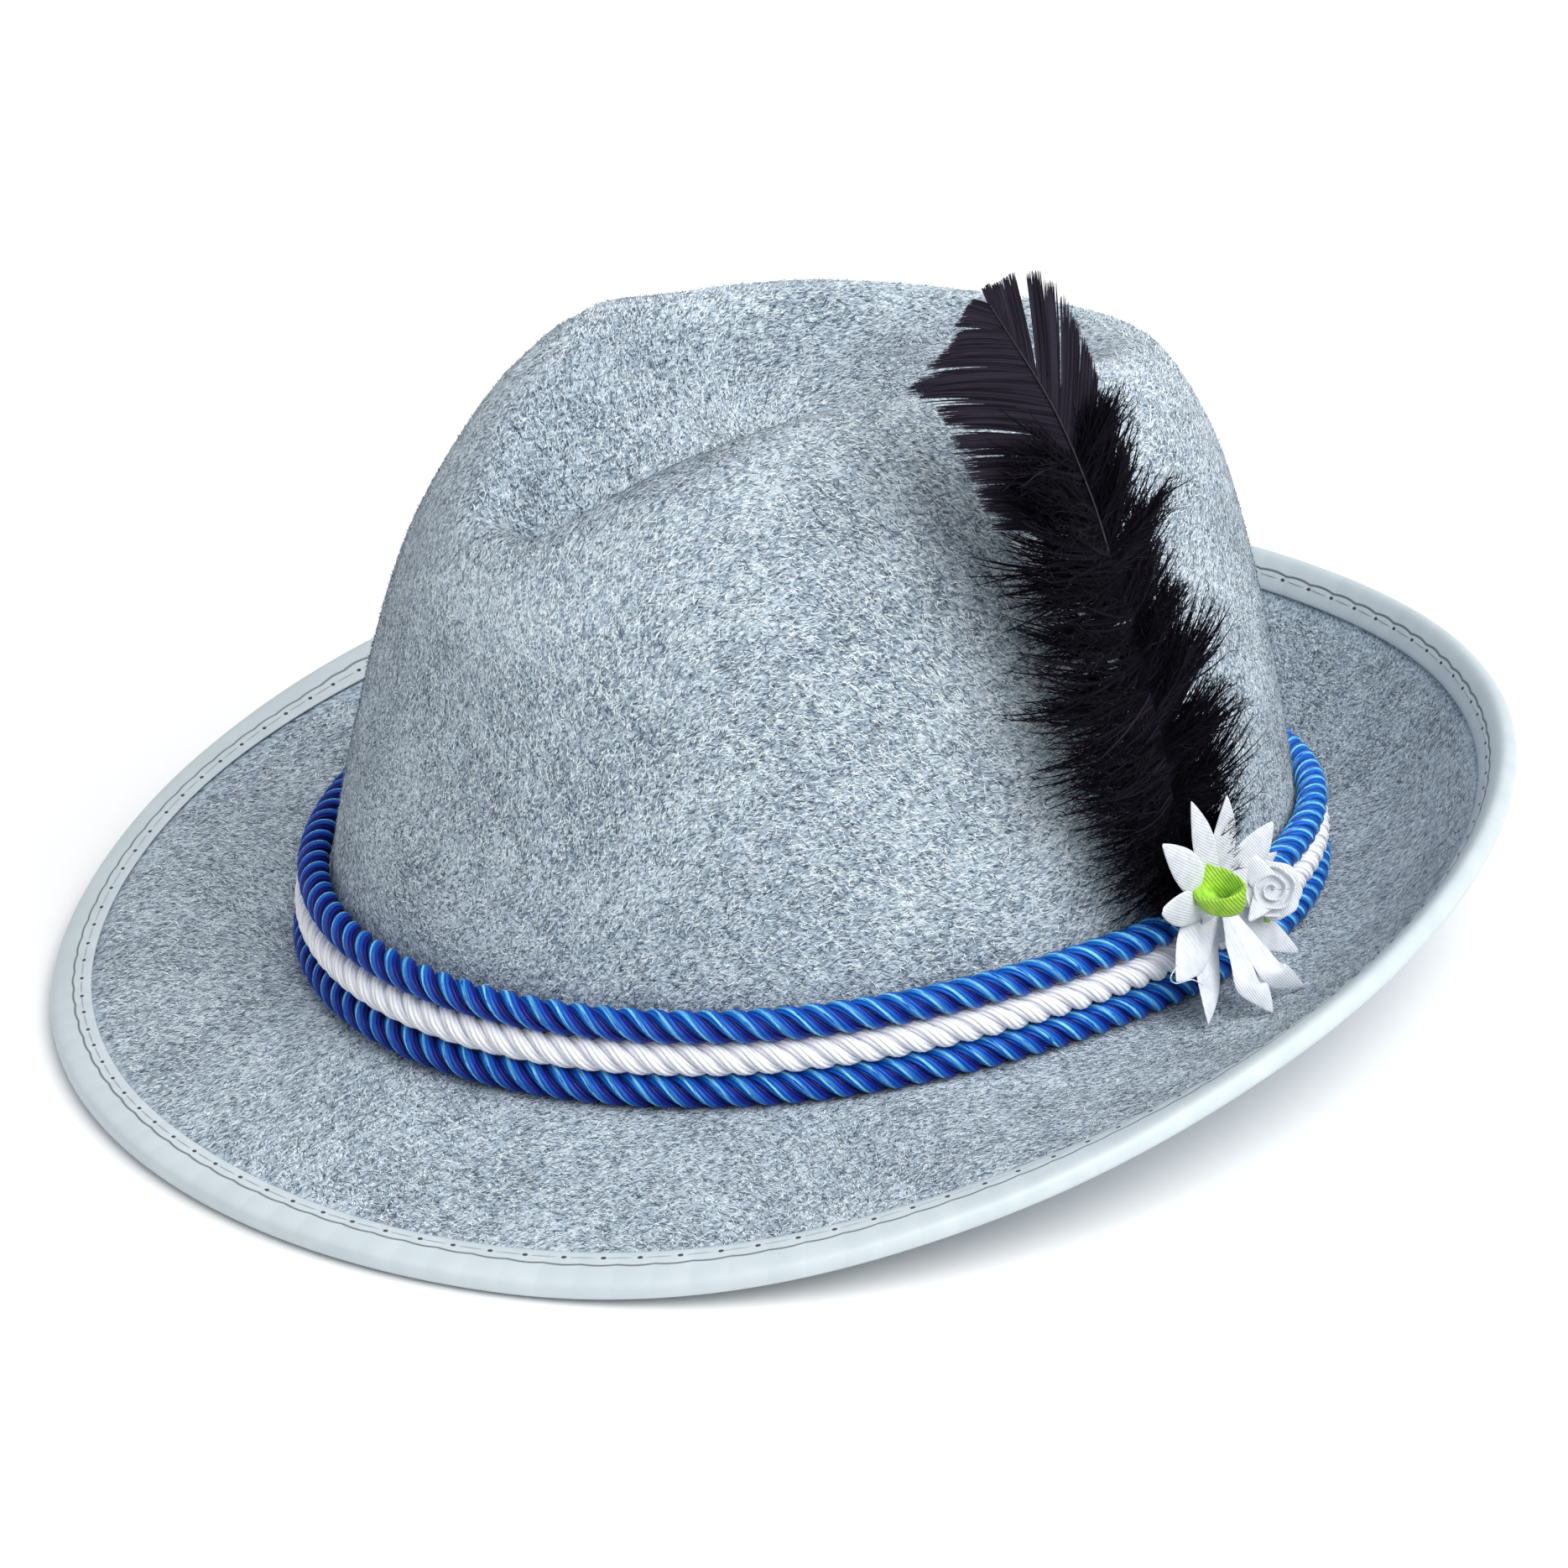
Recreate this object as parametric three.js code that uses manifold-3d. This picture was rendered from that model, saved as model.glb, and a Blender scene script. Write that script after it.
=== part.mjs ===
// A felt hat with an upturned brim, a creased crown, three twisted cords, a feather and a ribbon flower.
// Millimetres, +Z up, front towards -Y, the wearer's left towards +X, floor at Z = 0.
import * as THREE from 'three'
import Module from 'manifold-3d'

const wasm = await Module()
wasm.setup()

// Felt and head opening
const feltWall = 2.5
const headWidth = 166.6
const headLength = 202
const headTaper = 0.029
const crownHeight = 119
const seatRise = 5.7
const junctionRadius = 2.6

// Brim, measured outwards from the crown's outer wall
const brimFront = 50.7
const brimSide = 47.4
const brimBack = 43.6
const brimTaper = -0.071
const brimDip = 13.2
const brimRise = 44.4

// Crease and pinches of the crown
const creaseDepth = 24
const creaseLength = 0.72
const pinchDepth = 6

// Binding strip and the gap between pieces that touch
const bindingWidth = 8
const bindingThickness = 0.9
const cornerShare = 0.45
const clearance = 0.3

// Cords
const cordDiameter = 6
const cordGap = 0.4

// Feather
const shaftDiameter = 2
const shaftStand = 0.6
const featherLength = 135
const vaneWidth = 46
const lockThickness = 9
const notchShare = 0.72

// Flower: its turn from the hat's left towards the back, its lift over the upper cord, its stand off it
const flowerAngle = 13
const flowerLift = 2
const flowerStand = 0.6
const flowerRadius = 24
const petalThickness = 0.7
const petalSpread = 8.5
const heartReach = 0.36
const notchReach = 0.5
const notchLift = 0.4
const shoulderReach = 0.72
const shoulderLift = 0.5
const ribbonThickness = 0.7
const roseDiameter = 13
const roseHeight = 6.5
const roseHeart = 1.2
const roseFall = 0.35
const roseSide = 8
const roseUp = 3
const leafLength = 13
const leafWidth = 9
const leafHeight = 6
const leafSide = -6
const leafUp = 6.5
const leafTurn = THREE.MathUtils.degToRad(-25)
const trimStand = 1.1
const starFront = petalThickness + clearance + trimStand

// How the hat lies on the floor: degrees from the front at which the brim touches, and the flattening
const frontRest = 22.5
const floorPress = 0.8

const aroundSteps = 72
const cordSteps = 54
const cordSides = 8
const lockCount = 15
const shaftSteps = 9
const shaftSides = 6
const roseTurns = 2.4
const roseSteps = 30
const leafSteps = 14
const shareStep = 0.002

// Height of the brim's edge, by degrees round from the front, as a share of brimRise
const edgeTable = [
  { around: 0, lift: 0 },
  { around: 22.5, lift: 0.003 },
  { around: 45, lift: 0.104 },
  { around: 67.5, lift: 0.365 },
  { around: 90, lift: 0.663 },
  { around: 112.5, lift: 0.883 },
  { around: 135, lift: 0.997 },
  { around: 157.5, lift: 1.013 },
  { around: 180, lift: 1 },
]

// Level of the seat where brim and crown meet, as a share of seatRise, and the brim's upward curl
const seatTable = [
  { around: 0, lift: 0.11, curl: 1.15 },
  { around: 45, lift: 0.27, curl: 1.6 },
  { around: 90, lift: 1, curl: 2.8 },
  { around: 135, lift: 0.78, curl: 2.3 },
  { around: 180, lift: 0, curl: 2 },
]

// Wall of the crown from seat to ridge: height as a share of the local top, plan as shares of the opening
const wallTable = [
  { rise: 0, width: 1, front: 1, back: 1, square: 2, pinch: 0 },
  { rise: 0.15, width: 0.985, front: 0.985, back: 0.985, square: 2, pinch: 0 },
  { rise: 0.35, width: 0.935, front: 0.948, back: 0.948, square: 2.05, pinch: 0.1 },
  { rise: 0.55, width: 0.86, front: 0.908, back: 0.906, square: 2.1, pinch: 0.3 },
  { rise: 0.75, width: 0.755, front: 0.866, back: 0.868, square: 2.15, pinch: 0.5 },
  { rise: 0.9, width: 0.62, front: 0.825, back: 0.845, square: 2.15, pinch: 1.3 },
  { rise: 1, width: 0.44, front: 0.765, back: 0.79, square: 2.2, pinch: 0.9 },
]

// Outline of the crown's top and its crease from front to back, as shares of crownHeight and creaseDepth
const topTable = [
  { along: -1, top: 0.795, crease: 0.3 },
  { along: -0.7, top: 0.93, crease: 0.75 },
  { along: -0.35, top: 1, crease: 1 },
  { along: 0, top: 0.975, crease: 0.9 },
  { along: 0.4, top: 0.935, crease: 0.35 },
  { along: 0.75, top: 0.88, crease: -0.08 },
  { along: 1, top: 0.845, crease: -0.22 },
]

// Depth of the front pinch by degrees round from the front, as a share of pinchDepth
const pinchTable = [
  { around: 0, depth: 0 },
  { around: 15, depth: 0.45 },
  { around: 32, depth: 1 },
  { around: 50, depth: 1 },
  { around: 65, depth: 0.75 },
  { around: 80, depth: 0.2 },
  { around: 100, depth: 0 },
  { around: 180, depth: 0 },
]

// Line of the feather's shaft from its foot, as shares of featherLength
const shaftTable = [
  { out: 0, back: 0, up: 0 },
  { out: 0.01, back: -0.035, up: 0.075 },
  { out: 0.015, back: -0.065, up: 0.175 },
  { out: 0.008, back: -0.098, up: 0.31 },
  { out: -0.011, back: -0.122, up: 0.41 },
  { out: -0.037, back: -0.14, up: 0.51 },
  { out: -0.064, back: -0.166, up: 0.617 },
  { out: -0.097, back: -0.211, up: 0.747 },
  { out: -0.133, back: -0.285, up: 0.883 },
  { out: -0.145, back: -0.311, up: 0.925 },
]

// Locks of the vane from foot to tip: reach to the front and back as shares of vaneWidth, lean off the shaft
const lockTable = [
  { at: 0.06, front: 0.16, back: 0.1, lean: 84, body: 0.2 },
  { at: 0.14, front: 0.38, back: 0.28, lean: 82, body: 0.5 },
  { at: 0.25, front: 0.52, back: 0.4, lean: 78, body: 0.9 },
  { at: 0.36, front: 0.57, back: 0.41, lean: 72, body: 1 },
  { at: 0.46, front: 0.58, back: 0.4, lean: 68, body: 1 },
  { at: 0.56, front: 0.58, back: 0.38, lean: 64, body: 1 },
  { at: 0.66, front: 0.54, back: 0.33, lean: 58, body: 0.8 },
  { at: 0.75, front: 0.5, back: 0.23, lean: 54, body: 0.5 },
  { at: 0.83, front: 0.42, back: 0.14, lean: 48, body: 0.3 },
  { at: 0.91, front: 0.24, back: 0.1, lean: 36, body: 0.2 },
  { at: 0.97, front: 0.08, back: 0.08, lean: 24, body: 0.1 },
]

// Petals by their turn from the level at the hat's back, reach and forward lift as shares of flowerRadius
const petalTable = [
  { turn: 0, reach: 0.62, lift: 0.05 },
  { turn: 22, reach: 0.64, lift: 0.06 },
  { turn: 43, reach: 0.8, lift: 0.08 },
  { turn: 92, reach: 0.96, lift: 0.1 },
  { turn: 117, reach: 1.14, lift: 0.08 },
  { turn: 137, reach: 1.2, lift: 0.08 },
  { turn: 159, reach: 0.95, lift: 0.12 },
  { turn: 197, reach: 0.87, lift: 0.22 },
  { turn: 225, reach: 0.9, lift: 0.4 },
  { turn: 252, reach: 0.6, lift: 0.7 },
  { turn: 295, reach: 0.63, lift: 0.62 },
  { turn: 321, reach: 0.84, lift: 0.33 },
]

// Rows of the felt between its edge and the bottom of the crease
const wallRises = [0.07, 0.16, 0.3, 0.45, 0.6, 0.75, 0.88, 1]
const topShares = [0.78, 0.5, 0.2]
const brimShares = [0.07, 0.22, 0.42, 0.63]

// Value of one column of a table at a place, by a smooth curve through its rows
function read(table, place, key, column) {
  const last = table.length - 1
  let i = 0
  while (i < last - 1 && place > table[i + 1][key]) i++
  const [a, b] = [table[i], table[i + 1]]
  const before = table[Math.max(i - 1, 0)]
  const after = table[Math.min(i + 2, last)]
  const span = b[key] - a[key]
  const slopeA = i > 0 ? (b[column] - before[column]) / (b[key] - before[key]) : 0
  const slopeB = i < last - 1 ? (after[column] - a[column]) / (after[key] - a[key]) : 0
  const endA = i > 0 ? slopeA : key === 'around' ? 0 : (b[column] - a[column]) / span
  const endB = i < last - 1 ? slopeB : key === 'around' ? 0 : (b[column] - a[column]) / span
  const s = THREE.MathUtils.clamp((place - a[key]) / span, 0, 1)
  const [s2, s3] = [s * s, s * s * s]
  return (2 * s3 - 3 * s2 + 1) * a[column] + (s3 - 2 * s2 + s) * span * endA
    + (3 * s2 - 2 * s3) * b[column] + (s3 - s2) * span * endB
}

// Degrees round from the front, 0 to 180 on either side
function fromFront(angle) {
  const cosine = THREE.MathUtils.clamp(-Math.sin(angle), -1, 1)
  return THREE.MathUtils.radToDeg(Math.acos(cosine))
}

const power = (value, square) => Math.sign(value) * Math.abs(value) ** (2 / square)

const seatLevel = (angle) => seatRise * read(seatTable, fromFront(angle), 'around', 'lift')

// Point of an oval round the crown's foot, offset outwards from the head opening
function ringPoint(angle, offset, height) {
  const x = (headWidth / 2 + offset) * Math.cos(angle) * (1 + headTaper * Math.sin(angle))
  const y = (headLength / 2 + offset) * Math.sin(angle)
  return new THREE.Vector3(x, y, height)
}

// Middle of the felt in the brim: share 0 at the seat's rounding, 1 at the edge
function brimPoint(angle, share) {
  const inner = ringPoint(angle, feltWall / 2 + junctionRadius, 0)
  const halfWidth = headWidth / 2 + feltWall + brimSide
  const halfLength = headLength / 2 + feltWall + (brimFront + brimBack) / 2
  const outer = new THREE.Vector3(
    halfWidth * Math.cos(angle) * (1 + brimTaper * Math.sin(angle)),
    (brimBack - brimFront) / 2 + halfLength * Math.sin(angle),
    0,
  )
  const point = inner.lerp(outer, share)
  const low = seatLevel(angle) - clearance - feltWall / 2
  const high = brimRise * read(edgeTable, fromFront(angle), 'around', 'lift') - brimDip
  point.z = low + (high - low) * share ** read(seatTable, fromFront(angle), 'around', 'curl')
  return point
}

// Share of the brim at which the binding's inner hem lies, found by stepping in from the edge
function bindingShare(angle) {
  const edge = brimPoint(angle, 1)
  let share = 1
  while (brimPoint(angle, share).distanceTo(edge) < bindingWidth + clearance) share -= shareStep
  return share
}

// Middle of the felt in the rounding between brim and wall: turn 0 at the brim, 1 at the wall
function junctionPoint(angle, turn) {
  const bend = turn * Math.PI / 2
  const offset = feltWall / 2 + junctionRadius * (1 - Math.sin(bend))
  const height = seatLevel(angle) - clearance - feltWall / 2 + junctionRadius * (1 - Math.cos(bend))
  return ringPoint(angle, offset, height)
}

// Middle of the felt in the crown's wall: rise 0 at the seat, 1 at the ridge
function wallPoint(angle, rise) {
  const along = Math.sin(angle)
  const square = read(wallTable, rise, 'rise', 'square')
  const taper = 1 + headTaper * along * (1 - rise)
  const reach = read(wallTable, rise, 'rise', along < 0 ? 'front' : 'back')
  const width = read(wallTable, rise, 'rise', 'width')
  const x = width * (headWidth / 2 + feltWall / 2) * power(Math.cos(angle), square)
  const y = reach * (headLength / 2 + feltWall / 2) * power(along, square)
  const foot = seatLevel(angle) - clearance - feltWall / 2 + junctionRadius
  const top = crownHeight * read(topTable, along, 'along', 'top')
  const pinch = pinchDepth * read(wallTable, rise, 'rise', 'pinch')
  const inwards = pinch * read(pinchTable, fromFront(angle), 'around', 'depth')
  return new THREE.Vector3(x * taper - Math.sign(x) * inwards, y, foot + (top - foot) * rise)
}

// Middle of the felt on top of the crown: across 1 at the ridge, 0 in the crease
function topPoint(angle, across) {
  const point = wallPoint(angle, 1)
  const along = Math.sin(angle)
  point.x *= across
  point.y *= THREE.MathUtils.lerp(creaseLength, 1, across)
  const crease = creaseDepth * read(topTable, along, 'along', 'crease')
  point.z -= crease * (1 - across ** 2)
  return point
}

// The rows of the felt's middle surface, from the brim's edge to the bottom of the crease
function feltRows() {
  const rows = []
  rows.push((angle) => brimPoint(angle, 1))
  rows.push((angle) => brimPoint(angle, bindingShare(angle)))
  for (const share of [...brimShares].reverse()) rows.push((angle) => brimPoint(angle, share))
  for (const turn of [0, 0.5, 1]) rows.push((angle) => junctionPoint(angle, turn))
  for (const rise of wallRises) rows.push((angle) => wallPoint(angle, rise))
  for (const across of topShares) rows.push((angle) => topPoint(angle, across))
  return rows
}

// Distance from the felt's middle to the binding's inner and outer face
const hemInside = feltWall / 2 + clearance
const hemOutside = hemInside + bindingThickness

// Turn and lift that bring the front of the binding and the back of the seat down to the floor together
function restPose() {
  const front = brimPoint(THREE.MathUtils.degToRad(frontRest - 90), 1)
  const back = junctionPoint(Math.PI / 2, 0)
  const round = junctionRadius + feltWall / 2
  const spanAlong = back.y - front.y
  const spanUp = back.z + junctionRadius - front.z + hemOutside
  const lean = Math.atan2(spanUp, spanAlong) - Math.asin(round / Math.hypot(spanAlong, spanUp))
  const pose = new THREE.Matrix4().makeRotationX(-lean)
  const foot = front.applyMatrix4(pose).z - hemOutside * Math.cos(lean)
  return pose.premultiply(new THREE.Matrix4().makeTranslation(0, 0, -foot - floorPress))
}
const rest = restPose()

// Point laid down in the rest pose, pressed no lower than a level over the floor
function settle(point, level) {
  point.applyMatrix4(rest)
  point.z = Math.max(point.z, level)
  return point
}

// Points of the felt's middle surface as it lies on the floor, in rows and steps round
function feltGrid() {
  const turns = Array.from({ length: aroundSteps }, (_, i) => (i + 0.5) / aroundSteps - 0.25)
  return feltRows().map((row, index) => turns.map((turn) => (
    settle(row(2 * Math.PI * turn), index < 2 ? hemOutside : feltWall / 2)
  )))
}
const felt = feltGrid()

// Outward normal of the felt's middle surface at a row and step
function feltNormal(row, step) {
  const last = felt.length - 1
  const mirror = felt[last][(2 * aroundSteps - 1 - step) % aroundSteps]
  const above = row < last ? felt[row + 1][step] : mirror
  const below = felt[Math.max(row - 1, 0)][step]
  const left = felt[row][(step + aroundSteps - 1) % aroundSteps]
  const right = felt[row][(step + 1) % aroundSteps]
  return right.clone().sub(left).cross(above.clone().sub(below)).normalize()
}

// Geometry from points and triangles
function geometryOf(points, triangles) {
  const geometry = new THREE.BufferGeometry()
  const numbers = points.flatMap((point) => point.toArray())
  geometry.setAttribute('position', new THREE.Float32BufferAttribute(numbers, 3))
  geometry.setIndex(triangles)
  geometry.computeVertexNormals()
  return geometry
}

// Named mesh in its own finish
function meshOf(name, geometry, color, roughness) {
  const mesh = new THREE.Mesh(geometry, new THREE.MeshStandardMaterial({ color, roughness, metalness: 0 }))
  mesh.name = name
  return mesh
}

// Two triangles for a four-sided face
const quad = (a, b, c, d) => [a, b, c, a, c, d]

// Skin over sections with equal counts of points: looped when the last section joins the first, else capped
function skin(sections, looped) {
  const count = sections[0].length
  const spans = looped ? sections.length : sections.length - 1
  const at = (section, side) => (section % sections.length) * count + side % count
  const triangles = []
  for (let i = 0; i < spans; i++) {
    for (let j = 0; j < count; j++) {
      triangles.push(...quad(at(i, j + 1), at(i, j), at(i + 1, j), at(i + 1, j + 1)))
    }
  }
  if (!looped) {
    for (let j = 1; j < count - 1; j++) {
      triangles.push(0, j, j + 1, at(spans, 0), at(spans, j + 1), at(spans, j))
    }
  }
  return geometryOf(sections.flat(), triangles)
}

// Crown and brim, moulded in one piece of felt
function feltBody() {
  const rows = felt.length
  const points = []
  for (const side of [1, -1]) {
    for (let row = 0; row < rows; row++) {
      for (let step = 0; step < aroundSteps; step++) {
        const shift = feltNormal(row, step).multiplyScalar(side * feltWall / 2)
        points.push(felt[row][step].clone().add(shift))
      }
    }
  }
  const at = (side, row, step) => (side * rows + row) * aroundSteps + step % aroundSteps
  const triangles = []
  for (let step = 0; step < aroundSteps; step++) {
    const turn = step + 1
    for (let row = 0; row < rows - 1; row++) {
      const above = row + 1
      triangles.push(...quad(at(0, row, step), at(0, row, turn), at(0, above, turn), at(0, above, step)))
      triangles.push(...quad(at(1, row, turn), at(1, row, step), at(1, above, step), at(1, above, turn)))
    }
    triangles.push(...quad(at(0, 0, step), at(1, 0, step), at(1, 0, step + 1), at(0, 0, step + 1)))
  }
  const top = rows - 1
  for (let step = 0; step < aroundSteps / 2 - 1; step++) {
    const mate = aroundSteps - 1 - step
    triangles.push(...quad(at(0, top, step), at(0, top, step + 1), at(0, top, mate - 1), at(0, top, mate)))
    triangles.push(...quad(at(1, top, step), at(1, top, mate), at(1, top, mate - 1), at(1, top, step + 1)))
  }
  return meshOf('felt_body', geometryOf(points, triangles), 0x9aa6ad, 0.95)
}

// Binding folded over the brim's edge, held off the felt by the clearance
function brimBinding() {
  const sections = []
  for (let step = 0; step < aroundSteps; step++) {
    const edge = felt[0][step]
    const outwards = edge.clone().sub(felt[1][step]).normalize()
    const hem = felt[1][step].clone().addScaledVector(outwards, clearance)
    const [edgeUp, hemUp] = [feltNormal(0, step), feltNormal(1, step)]
    const place = (base, up, out, height) => (
      base.clone().addScaledVector(outwards, out).addScaledVector(up, height)
    )
    const lip = clearance + bindingThickness
    const corner = hemOutside * cornerShare
    sections.push([
      place(hem, hemUp, 0, hemInside),
      place(edge, edgeUp, clearance, hemInside),
      place(edge, edgeUp, clearance, -hemInside),
      place(hem, hemUp, 0, -hemInside),
      place(hem, hemUp, 0, -hemOutside),
      place(edge, edgeUp, 0, -hemOutside),
      place(edge, edgeUp, lip, -corner),
      place(edge, edgeUp, lip, corner),
      place(edge, edgeUp, 0, hemOutside),
      place(hem, hemUp, 0, hemOutside),
    ])
  }
  return meshOf('brim_binding', skin(sections, true), 0xb9c4c4, 0.45)
}

// Outward direction of the crown's oval in plan
function planNormal(angle) {
  return new THREE.Vector3(Math.cos(angle) * headLength, Math.sin(angle) * headWidth, 0).normalize()
}

// Centre line of a cord round the crown, level 0 lying on the brim and each next one on the last
function cordPoint(angle, level) {
  const height = seatLevel(angle) + cordDiameter / 2 + level * (cordDiameter + clearance)
  const foot = wallPoint(angle, 0).z
  const rise = (height - foot) / (wallPoint(angle, 1).z - foot)
  const outwards = planNormal(angle).multiplyScalar(feltWall / 2 + cordGap + cordDiameter / 2)
  return wallPoint(angle, rise).add(outwards)
}

// One closed cord
function cord(name, level, color) {
  const sections = []
  for (let i = 0; i < cordSteps; i++) {
    const angle = 2 * Math.PI * i / cordSteps
    const lowest = feltWall + clearance + cordDiameter / 2 + level * (cordDiameter + clearance)
    const centre = settle(cordPoint(angle, level), lowest)
    const outwards = planNormal(angle).transformDirection(rest)
    const up = new THREE.Vector3(0, 0, 1).transformDirection(rest)
    sections.push(Array.from({ length: cordSides }, (_, j) => {
      const turn = 2 * Math.PI * (j + 0.5) / cordSides
      return centre.clone().addScaledVector(outwards, Math.cos(turn) * cordDiameter / 2)
        .addScaledVector(up, Math.sin(turn) * cordDiameter / 2)
    }))
  }
  return meshOf(name, skin(sections, true), color, 0.35)
}

// Frame of the flower: its back lies on the cords, facing outwards
const flowerTurn = THREE.MathUtils.degToRad(flowerAngle)
const flowerOut = planNormal(flowerTurn)
const flowerSide = new THREE.Vector3(-flowerOut.y, flowerOut.x, 0)
const flowerUp = new THREE.Vector3(0, 0, 1)
const flowerCentre = cordPoint(flowerTurn, 2)
flowerCentre.addScaledVector(flowerOut, cordDiameter / 2 + clearance + flowerStand)
flowerCentre.z += flowerLift

// Point in the flower's frame: along the hat, up and out
function flowerPoint(side, up, out) {
  return flowerCentre.clone().addScaledVector(flowerSide, side).addScaledVector(flowerUp, up)
    .addScaledVector(flowerOut, out)
}

// Outline of the star in its own plane: both shoulders and the tip of each petal, then the notch after it
function starOutline() {
  return petalTable.flatMap((petal, i) => {
    const next = petalTable[(i + 1) % petalTable.length]
    const gap = (next.turn - petal.turn + 360) % 360
    const shoulder = { reach: petal.reach * shoulderReach, lift: petal.lift * shoulderLift }
    return [
      { ...shoulder, turn: petal.turn - petalSpread },
      petal,
      { ...shoulder, turn: petal.turn + petalSpread },
      { turn: petal.turn + gap / 2, reach: notchReach, lift: notchLift * Math.min(petal.lift, next.lift) },
    ]
  })
}

// Star of pointed petals cut from one piece: a flat heart, and petals that bend forward from it
function petalStar() {
  const outline = starOutline()
  const rings = [outline.map(({ turn }) => ({ turn, reach: heartReach, lift: 0 })), outline]
  const count = outline.length
  const points = []
  for (const face of [0, petalThickness]) {
    points.push(flowerPoint(0, 0, face))
    for (const { turn, reach, lift } of rings.flat()) {
      const angle = THREE.MathUtils.degToRad(turn)
      const [side, up] = [Math.cos(angle) * reach * flowerRadius, Math.sin(angle) * reach * flowerRadius]
      points.push(flowerPoint(side, up, lift * flowerRadius + face))
    }
  }
  const at = (face, ring, step) => face * (2 * count + 1) + 1 + ring * count + step % count
  const triangles = []
  for (let i = 0; i < count; i++) {
    triangles.push(0, at(0, 0, i + 1), at(0, 0, i))
    triangles.push(2 * count + 1, at(1, 0, i), at(1, 0, i + 1))
    triangles.push(...quad(at(0, 0, i), at(0, 0, i + 1), at(0, 1, i + 1), at(0, 1, i)))
    triangles.push(...quad(at(1, 0, i), at(1, 1, i), at(1, 1, i + 1), at(1, 0, i + 1)))
    triangles.push(...quad(at(0, 1, i), at(0, 1, i + 1), at(1, 1, i + 1), at(1, 1, i)))
  }
  return meshOf('petal_star', geometryOf(points, triangles).applyMatrix4(rest), 0xf2f3f6, 0.4)
}

// Ribbon along a path in the flower's frame, standing on edge: each stop has side, up, foot and height
function ribbon(name, stops, looped, color) {
  const half = ribbonThickness / 2
  const count = stops.length
  const sections = stops.map((stop, i) => {
    const next = stops[looped ? (i + 1) % count : Math.min(i + 1, count - 1)]
    const last = stops[looped ? (i + count - 1) % count : Math.max(i - 1, 0)]
    const along = new THREE.Vector2(next.side - last.side, next.up - last.up).normalize()
    const across = new THREE.Vector2(along.y, -along.x).multiplyScalar(half)
    const place = (sign, out) => flowerPoint(stop.side + sign * across.x, stop.up + sign * across.y, out)
    const [foot, head] = [stop.foot, stop.foot + stop.height]
    return [place(-1, foot), place(1, foot), place(1, head), place(-1, head)]
  })
  return meshOf(name, skin(sections, looped).applyMatrix4(rest), color, 0.5)
}

// Rose wound from one ribbon, its heart standing highest
function ribbonRose() {
  const stops = Array.from({ length: roseSteps + 1 }, (_, i) => {
    const share = i / roseSteps
    const angle = 2 * Math.PI * roseTurns * share
    const radius = THREE.MathUtils.lerp(roseHeart, roseDiameter / 2, share)
    return {
      side: roseSide + radius * Math.cos(angle),
      up: roseUp + radius * Math.sin(angle),
      foot: starFront,
      height: roseHeight * (1 - roseFall * share),
    }
  })
  return ribbon('ribbon_rose', stops, false, 0xf5f5f8)
}

// Green ribbon folded into a loop with a pointed end
function leafLoop() {
  const stops = Array.from({ length: leafSteps }, (_, i) => {
    const angle = 2 * Math.PI * i / leafSteps
    const long = -leafLength / 2 * Math.cos(angle)
    const wide = leafWidth / 2 * Math.sin(angle) * (1 - 0.45 * Math.cos(angle) ** 3)
    return {
      side: leafSide + long * Math.cos(leafTurn) - wide * Math.sin(leafTurn),
      up: leafUp + long * Math.sin(leafTurn) + wide * Math.cos(leafTurn),
      foot: starFront,
      height: leafHeight * (0.75 + 0.25 * Math.cos(angle)),
    }
  })
  return ribbon('leaf_loop', stops, true, 0x74b52c)
}

// Centre line of the feather's shaft, its foot on the upper cord behind the flower
function shaftCurve() {
  const foot = cordPoint(flowerTurn, 2)
  foot.z += cordDiameter / 2 + shaftStand
  return new THREE.CatmullRomCurve3(shaftTable.map((row) => (
    new THREE.Vector3(row.out, row.back, row.up).multiplyScalar(featherLength).add(foot)
  )))
}

// Direction that the feather's face looks
const vaneOut = new THREE.Vector3(0.95, -0.1, 0.28).normalize()

// Shaft of the feather, tapering to its tip
function shaft(curve) {
  const sections = []
  for (let i = 0; i <= shaftSteps; i++) {
    const share = i / shaftSteps
    const centre = curve.getPointAt(share)
    const along = curve.getTangentAt(share)
    const side = along.clone().cross(vaneOut).normalize()
    const out = side.clone().cross(along).normalize()
    const radius = shaftDiameter / 2 * (1 - 0.75 * share)
    sections.push(Array.from({ length: shaftSides }, (_, j) => {
      const turn = 2 * Math.PI * j / shaftSides
      return centre.clone().addScaledVector(out, radius * Math.cos(turn))
        .addScaledVector(side, -radius * Math.sin(turn))
    }))
  }
  return skin(sections, false)
}

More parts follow.
